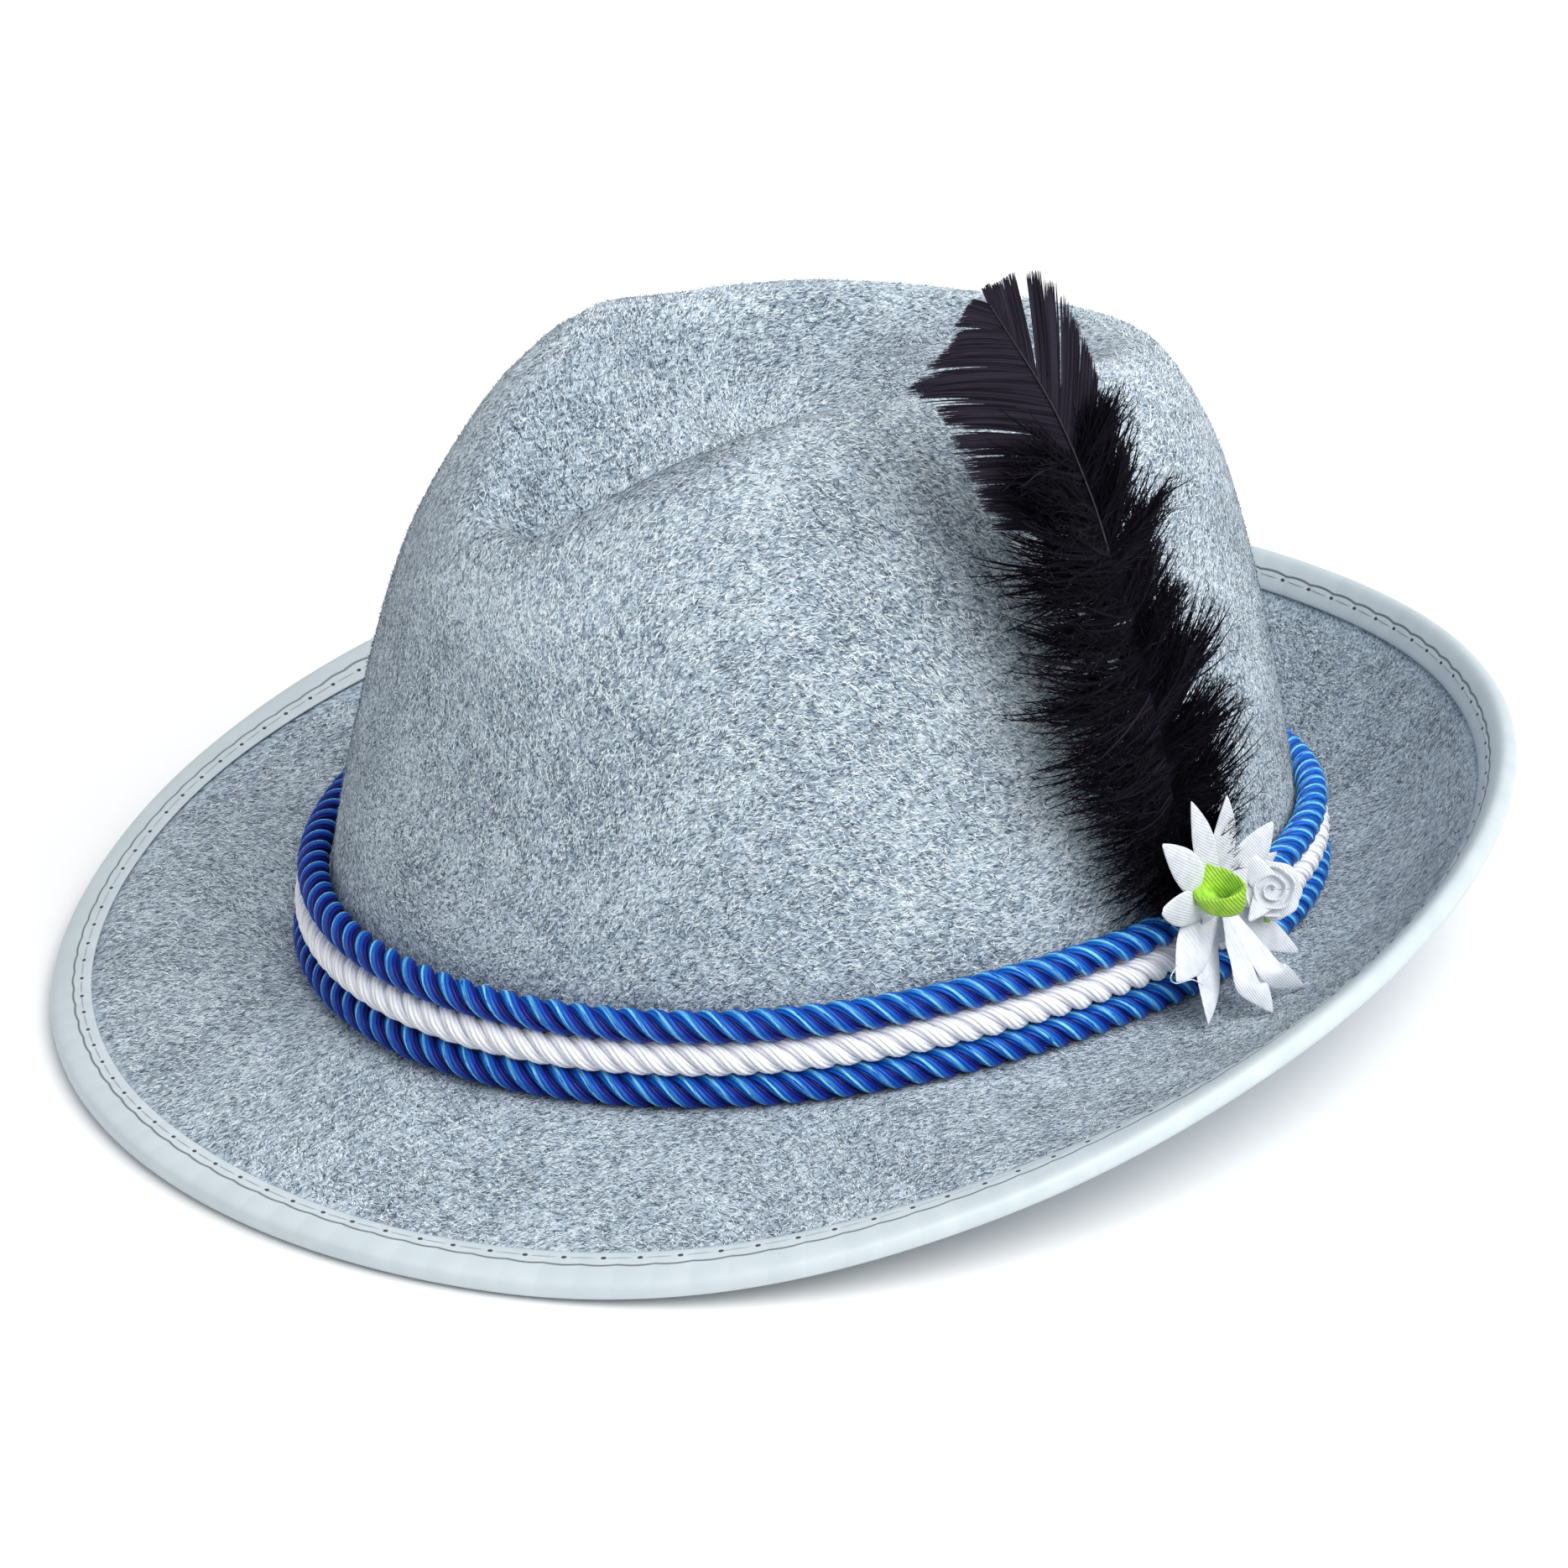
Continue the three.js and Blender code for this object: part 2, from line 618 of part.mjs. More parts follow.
// Vane of the feather: tapering locks along both sides, thickest at the shaft and closing to an edge
function vane(curve) {
  const [start, end] = [lockTable[0].at, lockTable[lockTable.length - 1].at]
  const station = (share, sign, reach, body) => {
    const along = curve.getTangentAt(share)
    const side = along.clone().cross(vaneOut).normalize()
    const out = side.clone().cross(along).normalize()
    const lean = THREE.MathUtils.degToRad(read(lockTable, share, 'at', 'lean'))
    const column = sign > 0 ? 'back' : 'front'
    const wide = sign === 0 ? 0 : reach * vaneWidth * read(lockTable, share, 'at', column)
    return curve.getPointAt(share).addScaledVector(side, sign * wide)
      .addScaledVector(along, wide / Math.tan(lean)).addScaledVector(out, body)
  }
  const points = []
  const add = (point) => points.push(point) - 1
  const shares = Array.from({ length: lockCount + 1 }, (_, i) => start + (end - start) * i / lockCount)
  const [foot, tip] = [add(station(start, 0, 0, 0)), add(station(end, 0, 0, 0))]
  const line = (height, sign, reach) => shares.map((share, i) => {
    if (i === 0) return foot
    if (i === lockCount) return tip
    return add(station(share, sign, reach, height * lockThickness / 2 * read(lockTable, share, 'at', 'body')))
  })
  const [upper, lower] = [line(1, 0, 0), line(-1, 0, 0)]
  const triangles = []
  const face = (a, b, c, flip) => {
    if (a !== b && b !== c && a !== c) triangles.push(...(flip ? [a, c, b] : [a, b, c]))
  }
  for (const sign of [-1, 1]) {
    const notches = line(0, sign, notchShare)
    for (let i = 0; i < lockCount; i++) {
      const point = add(station((shares[i] + shares[i + 1]) / 2, sign, i % 2 ? 1 : 0.9, 0))
      for (const [middle, flip] of [[upper, sign < 0], [lower, sign > 0]]) {
        face(middle[i], notches[i], point, flip)
        face(middle[i], point, middle[i + 1], flip)
        face(middle[i + 1], point, notches[i + 1], flip)
      }
    }
  }
  return geometryOf(points, triangles)
}

// Solid of the boolean library from a closed geometry
function solidOf(geometry) {
  return new wasm.Manifold(new wasm.Mesh({
    numProp: 3,
    vertProperties: new Float32Array(geometry.attributes.position.array),
    triVerts: new Uint32Array(geometry.index.array),
  }))
}

// Feather: the shaft and its vane joined into one body
function feather() {
  const curve = shaftCurve()
  const { vertProperties, triVerts } = solidOf(shaft(curve)).add(solidOf(vane(curve))).getMesh()
  const geometry = new THREE.BufferGeometry()
  geometry.setAttribute('position', new THREE.BufferAttribute(vertProperties, 3))
  geometry.setIndex(new THREE.BufferAttribute(triVerts, 1))
  geometry.computeVertexNormals()
  return meshOf('feather', geometry.applyMatrix4(rest), 0x17131a, 0.6)
}

const hat = new THREE.Group()
hat.add(feltBody(), brimBinding())
hat.add(cord('cord_blue_lower', 0, 0x0f4fc0))
hat.add(cord('cord_white', 1, 0xf0f1f6))
hat.add(cord('cord_blue_upper', 2, 0x0f4fc0))
hat.add(petalStar(), leafLoop(), ribbonRose(), feather())

// Origin on the floor under the middle of the whole
const bounds = new THREE.Box3().setFromObject(hat)
const middle = bounds.getCenter(new THREE.Vector3()).setZ(bounds.min.z)
for (const piece of hat.children) piece.geometry.translate(-middle.x, -middle.y, -middle.z)

export default hat
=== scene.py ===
import math
import bpy
import numpy as np
from mathutils import Matrix, Vector
from mathutils.bvhtree import BVHTree


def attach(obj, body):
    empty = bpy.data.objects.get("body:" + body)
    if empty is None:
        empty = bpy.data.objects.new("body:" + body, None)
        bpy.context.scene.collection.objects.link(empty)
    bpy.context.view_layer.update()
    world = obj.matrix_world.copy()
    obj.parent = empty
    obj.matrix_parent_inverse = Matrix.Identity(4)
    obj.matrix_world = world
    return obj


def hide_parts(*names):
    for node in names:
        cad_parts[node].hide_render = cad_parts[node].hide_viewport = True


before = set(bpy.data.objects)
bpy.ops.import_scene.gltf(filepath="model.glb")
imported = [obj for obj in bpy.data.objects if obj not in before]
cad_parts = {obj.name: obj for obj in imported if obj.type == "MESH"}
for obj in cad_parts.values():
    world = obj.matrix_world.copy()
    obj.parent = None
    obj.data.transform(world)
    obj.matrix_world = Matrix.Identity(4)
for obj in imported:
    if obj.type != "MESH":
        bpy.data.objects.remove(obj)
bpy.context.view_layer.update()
bpy.ops.object.select_all(action="DESELECT")
mm = 0.001


# view of the photograph: where the camera stands and how it is turned
view = {
    "place": (0.76879, -0.62612, 0.50469),
    "right": (0.63964, 0.76809, -0.02998),
    "up": (-0.31286, 0.29577, 0.90257),
    "back": (0.70213, -0.56794, 0.42949),
    "lens": 127.72,
    "sensor": 36.0,
}


def addCamera(look):
    bpy.ops.object.camera_add(location=look["place"])
    camera = bpy.context.object
    turn = Matrix((look["right"], look["up"], look["back"])).transposed()
    camera.matrix_world = Matrix.Translation(look["place"]) @ turn.to_4x4()
    camera.data.lens = look["lens"]
    camera.data.sensor_width = look["sensor"]
    camera.data.clip_start = 0.05
    camera.data.clip_end = 20.0
    bpy.context.scene.camera = camera


addCamera(view)
print("camera is placed")


# helpers for meshes
def pickOnly(piece):
    bpy.ops.object.select_all(action="DESELECT")
    piece.select_set(True)
    bpy.context.view_layer.objects.active = piece


def applyAll(piece):
    pickOnly(piece)
    for modifier in list(piece.modifiers):
        bpy.ops.object.modifier_apply(modifier=modifier.name)


def smoothFaces(piece, limit=None):
    pickOnly(piece)
    if limit is None:
        bpy.ops.object.shade_smooth()
    else:
        bpy.ops.object.shade_smooth_by_angle(angle=math.radians(limit))


def linkMesh(name, data):
    piece = bpy.data.objects.new(name, data)
    bpy.context.scene.collection.objects.link(piece)
    return piece


def newMesh(name, points, faces, uvs=None):
    data = bpy.data.meshes.new(name)
    data.from_pydata([tuple(p) for p in points], [], faces)
    if uvs is not None:
        layer = data.uv_layers.new(name="lie")
        layer.data.foreach_set("uv", np.asarray(uvs, np.float32).ravel())
    data.update()
    return linkMesh(name, data)


# many small faces at once, each corner with its tone
def fastFaces(name, points, faces, shade):
    faces = np.asarray(faces, np.int32)
    count, sides = faces.shape
    data = bpy.data.meshes.new(name)
    data.vertices.add(len(points))
    data.vertices.foreach_set("co", np.asarray(points, np.float32).ravel())
    data.loops.add(count * sides)
    data.loops.foreach_set("vertex_index", faces.ravel())
    data.polygons.add(count)
    data.polygons.foreach_set("loop_start", np.arange(0, count * sides, sides, dtype=np.int32))
    tone = data.attributes.new("tone", "FLOAT", "POINT")
    tone.data.foreach_set("value", np.asarray(shade, np.float32))
    data.update(calc_edges=True)
    return linkMesh(name, data)


def placesOf(piece):
    return np.array([v.co[:] for v in piece.data.vertices])


# corners of a ring's solid, sorted into its sections round the middle
def sectionRows(node, sections):
    corners = np.unique(np.round(placesOf(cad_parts[node]), 7), axis=0)
    middle = (corners.max(0) + corners.min(0)) / 2
    order = np.argsort(np.arctan2(corners[:, 1] - middle[1], corners[:, 0] - middle[0]))
    return corners[order].reshape(sections, -1, 3), middle


def faceOutwards(piece):
    pickOnly(piece)
    bpy.ops.object.mode_set(mode="EDIT")
    bpy.ops.mesh.select_all(action="SELECT")
    bpy.ops.mesh.normals_make_consistent(inside=False)
    bpy.ops.object.mode_set(mode="OBJECT")


# a copy of a solid, its flat facets joined and rounded
def smoothCopy(node, name, levels):
    piece = linkMesh(name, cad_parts[node].data.copy())
    piece.data.name = name
    pickOnly(piece)
    bpy.ops.object.mode_set(mode="EDIT")
    bpy.ops.mesh.select_all(action="SELECT")
    bpy.ops.mesh.remove_doubles(threshold=1e-6)
    bpy.ops.mesh.tris_convert_to_quads(face_threshold=math.pi, shape_threshold=math.pi)
    bpy.ops.object.mode_set(mode="OBJECT")
    faceOutwards(piece)
    soften = piece.modifiers.new("soften", "SUBSURF")
    soften.levels = levels
    soften.render_levels = levels
    applyAll(piece)
    smoothFaces(piece)
    return piece


def finishPiece(piece, slotName, material, *nodes):
    piece.data.materials.clear()
    piece.data.materials.append(material)
    if nodes:
        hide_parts(*nodes)
    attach(piece, "root")


def spline(p0, p1, p2, p3, s):
    return p1 + 0.5 * s * (p2 - p0 + s * (2 * p0 - 5 * p1 + 4 * p2 - p3 + s * (3 * (p1 - p2) + p3 - p0)))


def closedLine(points, count):
    ring = np.asarray(points, float)
    span = np.linalg.norm(np.roll(ring, -1, 0) - ring, axis=1)
    place = np.concatenate([[0], np.cumsum(span)])
    goal = np.arange(count) * place[-1] / count
    at = np.clip(np.searchsorted(place, goal, side="right") - 1, 0, len(ring) - 1)
    s = ((goal - place[at]) / span[at])[:, None]
    near = [ring[(at + k) % len(ring)] for k in (-1, 0, 1, 2)]
    return spline(*near, s), place[-1]


def openLine(points, count):
    line = np.asarray(points, float)
    padded = np.vstack([2 * line[0] - line[1], line, 2 * line[-1] - line[-2]])
    goal = np.linspace(0, len(line) - 1, 40 * len(line))
    at = np.minimum(goal.astype(int), len(line) - 2)
    near = [padded[at + k] for k in range(4)]
    curve = spline(*near, (goal - at)[:, None])
    place = np.concatenate([[0], np.cumsum(np.linalg.norm(np.diff(curve, axis=0), axis=1))])
    even = np.linspace(0, place[-1], count)
    return np.stack([np.interp(even, place, axis) for axis in curve.T], 1)


def unit(vectors):
    vectors = np.asarray(vectors, float)
    return vectors / (np.linalg.norm(vectors, axis=-1, keepdims=True) + 1e-12)


def tubeFaces(rings, sides, closed):
    faces = []
    spans = rings if closed else rings - 1
    for i in range(spans):
        for j in range(sides):
            a, b = i * sides + j, i * sides + (j + 1) % sides
            c, d = ((i + 1) % rings) * sides + (j + 1) % sides, ((i + 1) % rings) * sides + j
            faces.append((a, b, c, d))
    if not closed:
        faces.append(tuple(range(sides))[::-1])
        faces.append(tuple((rings - 1) * sides + j for j in range(sides)))
    return faces


def tube(name, line, radii, sides=8):
    line = np.asarray(line, float)
    along = unit(np.gradient(line, axis=0))
    across = unit(np.cross(along, (0.12, 0.2, 0.97)))
    lift = np.cross(across, along)
    turn = np.arange(sides) * 2 * math.pi / sides
    ring = np.cos(turn)[None, :, None] * across[:, None] + np.sin(turn)[None, :, None] * lift[:, None]
    points = line[:, None] + ring * np.asarray(radii, float).reshape(-1, 1, 1)
    piece = newMesh(name, points.reshape(-1, 3), tubeFaces(len(line), sides, False))
    smoothFaces(piece, 60)
    return piece


def joinPieces(pieces, name):
    bpy.ops.object.select_all(action="DESELECT")
    for piece in pieces:
        piece.select_set(True)
    bpy.context.view_layer.objects.active = pieces[0]
    bpy.ops.object.join()
    pieces[0].name = name
    return pieces[0]


# helpers for materials
def nodeTree(name):
    material = bpy.data.materials.new(name)
    material.use_nodes = True
    tree = material.node_tree
    shader = tree.nodes["Principled BSDF"]
    return material, tree, shader


def addNode(tree, kind, **values):
    item = tree.nodes.new(kind)
    for key, value in values.items():
        if hasattr(item, key):
            setattr(item, key, value)
        else:
            item.inputs[key].default_value = value
    return item


def setInputs(item, values):
    for key, value in values.items():
        item.inputs[key].default_value = value


def mathNode(tree, operation, first, second=None):
    item = addNode(tree, "ShaderNodeMath", operation=operation)
    for place, value in enumerate((first, second)):
        if value is None:
            continue
        if isinstance(value, (int, float)):
            item.inputs[place].default_value = value
        else:
            tree.links.new(value, item.inputs[place])
    return item.outputs[0]


def ramp(tree, source, stops):
    item = addNode(tree, "ShaderNodeValToRGB")
    while len(item.color_ramp.elements) < len(stops):
        item.color_ramp.elements.new(0.5)
    for element, (place, colour) in zip(item.color_ramp.elements, stops):
        element.position = place
        element.color = (*colour, 1)
    tree.links.new(source, item.inputs[0])
    return item.outputs[0]


def bumpInto(tree, shader, height, strength, distance):
    item = addNode(tree, "ShaderNodeBump", Strength=strength, Distance=distance)
    tree.links.new(height, item.inputs["Height"])
    tree.links.new(item.outputs[0], shader.inputs["Normal"])


def objectNoise(tree, scale, detail):
    place = addNode(tree, "ShaderNodeTexCoord")
    noise = addNode(tree, "ShaderNodeTexNoise", Scale=scale, Detail=detail)
    tree.links.new(place.outputs["Object"], noise.inputs["Vector"])
    return noise.outputs["Fac"]


# a mesh's own map, whole and as its two parts
def mapNodes(tree, name):
    whole = addNode(tree, "ShaderNodeUVMap", uv_map=name).outputs[0]
    split = addNode(tree, "ShaderNodeSeparateXYZ")
    tree.links.new(whole, split.inputs[0])
    return whole, split.outputs[0], split.outputs[1]


# streaks of matted fibres in several directions, as a shared group
def fibreGroup():
    group = bpy.data.node_groups.new("mattedFibres", "ShaderNodeTree")
    group.interface.new_socket("Scale", in_out="INPUT", socket_type="NodeSocketFloat").default_value = 900
    group.interface.new_socket("Streaks", in_out="OUTPUT", socket_type="NodeSocketFloat")
    group.interface.new_socket("Patches", in_out="OUTPUT", socket_type="NodeSocketFloat")
    start = group.nodes.new("NodeGroupInput")
    end = group.nodes.new("NodeGroupOutput")
    place = addNode(group, "ShaderNodeTexCoord")
    total = None
    for turn in ((0.3, 0.2, 0.1), (0.2, 0.9, 1.1), (1.0, 0.3, 2.1)):
        mapping = addNode(group, "ShaderNodeMapping", Rotation=turn, Scale=(1, 0.32, 1))
        group.links.new(place.outputs["Object"], mapping.inputs["Vector"])
        noise = addNode(group, "ShaderNodeTexNoise", Detail=3, Roughness=0.6, Distortion=0.6)
        group.links.new(mapping.outputs[0], noise.inputs["Vector"])
        group.links.new(start.outputs["Scale"], noise.inputs["Scale"])
        total = noise.outputs["Fac"] if total is None else mathNode(group, "ADD", total, noise.outputs["Fac"])
    group.links.new(mathNode(group, "DIVIDE", total, 3), end.inputs["Streaks"])
    group.links.new(objectNoise(group, 70, 2), end.inputs["Patches"])
    return group


matted = fibreGroup()

feltLook = {
    "dark": (0.085, 0.115, 0.155),
    "middle": (0.34, 0.425, 0.50),
    "light": (0.67, 0.76, 0.83),
    "grain": 1900.0,
    "patches": 0.16,
    # strength of the painted light on the crown's ridge and the painted shade in its hollow
    "paintedRidgeShade": 0.015,
    "roughness": 0.95,
    "sheen": 0.2,
    "sheenRoughness": 0.5,
    "shine": 0.2,
    "bump": 0.85,
    "bumpDepth": 0.0006,
}


def feltMaterial(look):
    material, tree, shader = nodeTree("felt")
    fibres = addNode(tree, "ShaderNodeGroup", node_tree=matted, Scale=look["grain"])
    patchy = mathNode(tree, "SUBTRACT", fibres.outputs["Patches"], 0.5)
    patchy = mathNode(tree, "MULTIPLY", patchy, look["patches"])
    # the ridge painted lighter and the hollow darker, as painted light and shade added to the grain
    paintedRidgeShade = addNode(tree, "ShaderNodeAttribute", attribute_name="paintedRidgeShade")
    height = mathNode(tree, "MULTIPLY", paintedRidgeShade.outputs["Fac"], look["paintedRidgeShade"])
    grain = mathNode(tree, "ADD", mathNode(tree, "ADD", fibres.outputs["Streaks"], patchy), height)
    colour = ramp(tree, grain, [(0.40, look["dark"]), (0.50, look["middle"]), (0.60, look["light"])])
    tree.links.new(colour, shader.inputs["Base Color"])
    setInputs(shader, {"Roughness": look["roughness"], "Specular IOR Level": look["shine"]})
    setInputs(shader, {"Sheen Weight": look["sheen"], "Sheen Roughness": look["sheenRoughness"]})
    bumpInto(tree, shader, fibres.outputs["Streaks"], look["bump"], look["bumpDepth"])
    return material


def strandMaterial(name, look):
    material, tree, shader = nodeTree(name)
    tone = addNode(tree, "ShaderNodeAttribute", attribute_name="tone")
    stops = [(0.0, look["dark"]), (0.5, look["middle"]), (1.0, look["light"])]
    tree.links.new(ramp(tree, tone.outputs["Fac"], stops), shader.inputs["Base Color"])
    setInputs(shader, {"Roughness": look["roughness"], "Specular IOR Level": look["shine"]})
    return material


def plainMaterial(name, colour, roughness):
    material, _, shader = nodeTree(name)
    setInputs(shader, {"Base Color": (*colour, 1), "Roughness": roughness})
    return material


# felt body, smoothed from its solid, with the ridge of the creased crown drawn up and its hollow down
crown = {
    "foot": 55 * mm,
    "top": 118 * mm,
    "rise": 2.6 * mm,
    "halfWidth": 39.3 * mm,
    "halfLength": 82 * mm,
    "square": 2.2,
    "ridge": 2.3 * mm,
    "ridgeShare": 0.12,
    "valley": 2.2 * mm,
    "valleyShare": 0.22,
    "reliefFrom": 80 * mm,
    "reliefOver": 12 * mm,
}


def crownRelief(points, size):
    x, y, z = points.T
    power = size["square"]
    oval = (np.abs(x) / size["halfWidth"]) ** power + (np.abs(y) / size["halfLength"]) ** power
    oval = oval ** (1 / power)
    high = np.clip((z - size["reliefFrom"]) / size["reliefOver"], 0, 1)
    ridge = high * np.exp(-((oval - 1) / size["ridgeShare"]) ** 2)
    valley = high * np.exp(-((oval - 0.7) / size["valleyShare"]) ** 2)
    return ridge, valley


def drawCrown(piece, size):
    points = placesOf(piece)
    climb = np.clip((points[:, 2] - size["foot"]) / (size["top"] - size["foot"]), 0, 1)
    climb = climb * climb * (3 - 2 * climb)
    ahead = np.clip((size["halfLength"] - points[:, 1]) / (1.5 * size["halfLength"]), 0, 1)
    ridge, valley = crownRelief(points, size)
    points[:, 2] += size["rise"] * climb * ahead + size["ridge"] * ridge - size["valley"] * valley
    piece.data.vertices.foreach_set("co", points.astype(np.float32).ravel())
    # kept for the felt's colour: painted light on the ridge and painted shade in the hollow
    paintedRidgeShade = piece.data.attributes.new("paintedRidgeShade", "FLOAT", "POINT")
    paintedRidgeShade.data.foreach_set("value", (ridge - valley).astype(np.float32))
    piece.data.update()


feltMesh = smoothCopy("felt_body", "feltShell", 2)
drawCrown(feltMesh, crown)
feltMat = feltMaterial(feltLook)
finishPiece(feltMesh, "felt", feltMat, "felt_body")
print("felt shell is smooth")


# binding along the brim's edge, with its places along and across kept as a map
binding = {
    "sections": 72,
    "face": 8.3 * mm,
    "mapSteps": 3600,
    "stitchSteps": 1440,
    "stitchLine": 2.2 * mm,
    "stitchPitch": 7.0 * mm,
    "stitchLength": 5.4 * mm,
    "threadRadius": 0.16 * mm,
    "sink": 0.03 * mm,
    # half sizes of the dark beads painted as the shade inside the needle holes
    "holeShade": (0.55 * mm, 0.4 * mm, 0.12 * mm),
}


def brimLines(node, sections):
    rows, middle = sectionRows(node, sections)
    hems, lips = [], []
    for row in rows:
        reach = np.linalg.norm(row[:, :2] - middle[:2], axis=1)
        near = row[np.argsort(reach)[:4]]
        hems.append(near[np.argmax(near[:, 2])])
        lips.append(row[np.argsort(reach)[-2:]].mean(0))
    return np.array(hems), np.array(lips)


hemRing, lipRing = brimLines("brim_binding", binding["sections"])
bindingMesh = smoothCopy("brim_binding", "bindingStrip", 2)


def bindingMap(piece, lips, steps):
    curve, length = closedLine(lips, steps)
    centre = curve.mean(0)
    angles = np.arctan2(curve[:, 1] - centre[1], curve[:, 0] - centre[0])
    order = np.argsort(angles)
    points = placesOf(piece)
    own = np.arctan2(points[:, 1] - centre[1], points[:, 0] - centre[0])
    near = order[np.clip(np.searchsorted(angles[order], own), 0, steps - 1)]
    along = near * length / steps
    across = np.linalg.norm(points - curve[near], axis=1)
    layer = piece.data.uv_layers.new(name="strip")
    values = np.zeros((len(piece.data.loops), 2), np.float32)
    for polygon in piece.data.polygons:
        loops = list(polygon.loop_indices)
        picked = [piece.data.loops[i].vertex_index for i in loops]
        u = along[picked]
        if u.max() - u.min() > length / 2:
            u = np.where(u < length / 2, u + length, u)
        values[loops, 0] = u / mm
        values[loops, 1] = across[picked] / mm
    layer.data.foreach_set("uv", values.ravel())


bindingMap(bindingMesh, lipRing, binding["mapSteps"])

bindingLook = {
    "colour": (0.55, 0.62, 0.65),
    "pale": (0.60, 0.67, 0.70),
    # painted shade in the stitch groove
    "groove": (0.10, 0.12, 0.13),
    "roughness": 0.42,
    "pucker": 0.5,
    "puckerDepth": 0.0008,
    "grooveWidth": 0.28,
    "grooveDepth": 0.8,
    "puff": 0.2,
    "hemStep": 0.35,
    "sag": 0.25,
    "shine": 0.45,
}


def bindingMaterial(look, pitch, line):
    material, tree, shader = nodeTree("bindingStripMaterial")
    _, along, across = mapNodes(tree, "strip")
    wave = mathNode(tree, "SINE", mathNode(tree, "MULTIPLY", along, math.pi / pitch))
    wave = mathNode(tree, "ABSOLUTE", wave)
    bow = mathNode(tree, "SUBTRACT", line, mathNode(tree, "MULTIPLY", wave, look["sag"]))
    gap = mathNode(tree, "SUBTRACT", across, bow)
    near = mathNode(tree, "DIVIDE", mathNode(tree, "ABSOLUTE", gap), look["grooveWidth"])
    near = mathNode(tree, "MINIMUM", near, 1.0)
    step = mathNode(tree, "MULTIPLY", mathNode(tree, "GREATER_THAN", gap, 0.0), look["hemStep"])
    groove = mathNode(tree, "MULTIPLY", near, look["grooveDepth"])
    puffs = mathNode(tree, "MULTIPLY", wave, look["puff"])
    height = mathNode(tree, "ADD", mathNode(tree, "ADD", groove, puffs), step)
    bumpInto(tree, shader, height, look["pucker"], look["puckerDepth"])
    tape = ramp(tree, objectNoise(tree, 120, 3), [(0.35, look["colour"]), (0.7, look["pale"])])
    # the groove's painted shade is mixed in near the stitch line
    mix = addNode(tree, "ShaderNodeMix", data_type="RGBA")
    tree.links.new(near, mix.inputs["Factor"])
    mix.inputs["A"].default_value = (*look["groove"], 1)
    tree.links.new(tape, mix.inputs["B"])
    tree.links.new(mix.outputs["Result"], shader.inputs["Base Color"])
    setInputs(shader, {"Roughness": look["roughness"], "Specular IOR Level": look["shine"]})
    return material


grooveLine = (binding["face"] - binding["stitchLine"]) / mm
bindingMat = bindingMaterial(bindingLook, binding["stitchPitch"] / mm, grooveLine)
threadMat = plainMaterial("thread", (0.36, 0.42, 0.45), 0.6)
# near black, painted as the shade inside the needle holes
holeShadeMat = plainMaterial("needleHoleShade", (0.05, 0.06, 0.07), 0.9)


def surfaceLine(curve, piece):
    surface = BVHTree.FromObject(piece, bpy.context.evaluated_depsgraph_get())
    above, down = Vector((0, 0, 10 * mm)), Vector((0, 0, -1))
    points, normals = [], []
    for place in curve:
        hit, normal, _, _ = surface.ray_cast(Vector(place) + above, down)
        if hit is None:
            hit, normal, _, _ = surface.find_nearest(Vector(place))
        points.append(hit[:])
        normals.append(normal[:])
    return np.array(points), np.array(normals)


# a row of beads along a line, all in one mesh
def beadRow(name, points, normals, length, count, start, halves, sink):
    bpy.ops.mesh.primitive_uv_sphere_add(segments=8, ring_count=5, radius=1, location=(0, 0, 0))
    bead = bpy.context.object
    shape = placesOf(bead)
    sides = [tuple(face.vertices) for face in bead.data.polygons]
    bpy.data.objects.remove(bead)
    steps, pitch = len(points), length / count
    places, faces = [], []
    for i in range(count):
        a = int((i + start) * pitch / length * steps) % steps
        along = unit(points[(a + 2) % steps] - points[a])
        up = unit(normals[a] - along * np.dot(normals[a], along))
        axes = np.stack([along, np.cross(up, along), up]) * np.reshape(halves, (3, 1))
        faces += [tuple(v + i * len(shape) for v in side) for side in sides]
        places.append(shape @ axes + points[a] - up * sink)
    row = newMesh(name, np.concatenate(places), faces)
    smoothFaces(row)
    return row


def stitchRows(size, hems, lips, piece):
    curve, length = closedLine(hems + unit(lips - hems) * size["stitchLine"], size["stitchSteps"])
    points, normals = surfaceLine(curve, piece)
    count = round(length / size["stitchPitch"])
    thread = (size["stitchLength"] / 2, size["threadRadius"], size["threadRadius"])
    threads = beadRow("brimStitches", points, normals, length, count, 0, thread, size["sink"])
    # dark beads painted as the shade inside the needle holes
    holeShades = beadRow("brimNeedleHoleShades", points, normals, length, count, 0.5, size["holeShade"], 0)
    return threads, holeShades


stitches, needleHoleShades = stitchRows(binding, hemRing, lipRing, bindingMesh)
finishPiece(bindingMesh, "binding", bindingMat, "brim_binding")
finishPiece(stitches, "binding", threadMat)
finishPiece(needleHoleShades, "binding", holeShadeMat)
print("binding and stitches are made")


# short fibres lying on the felt
naps = [
    {
        "name": "feltNap", "count": 180000, "seed": 11, "lift": 0.15,
        "shortest": 0.9 * mm, "longest": 2.6 * mm, "width": 0.15 * mm,
    },
    {
        "name": "feltFlecks", "count": 185000, "seed": 12, "lift": 0.2,
        "shortest": 0.7 * mm, "longest": 1.6 * mm, "width": 0.23 * mm,
    },
]


napLie = {
    "waves": 18.0,
    "turn": 0.9,
    "spread": 0.55,
    "lowest": 0.015,
    "above": 0.03 * mm,
    "hemGap": 1.5 * mm,
    "shades": (0.05, 0.3, 0.55, 0.8, 1.0),
    "shares": (0.27, 0.14, 0.13, 0.17, 0.29),
    "ridgeShade": 0.15,
}


# slow waves over the hat that turn the lie of the nap
def swirl(points, waves):
    x, y, z = points.T * waves
    return (
        np.sin(1.7 * x + 0.9 * np.sin(1.3 * y + 2.0) + 0.4)
        + np.sin(1.1 * y - 1.2 * z + 0.8 * np.sin(0.9 * x))
        + np.sin(1.9 * z + 0.7 * x - 1.0)
    )


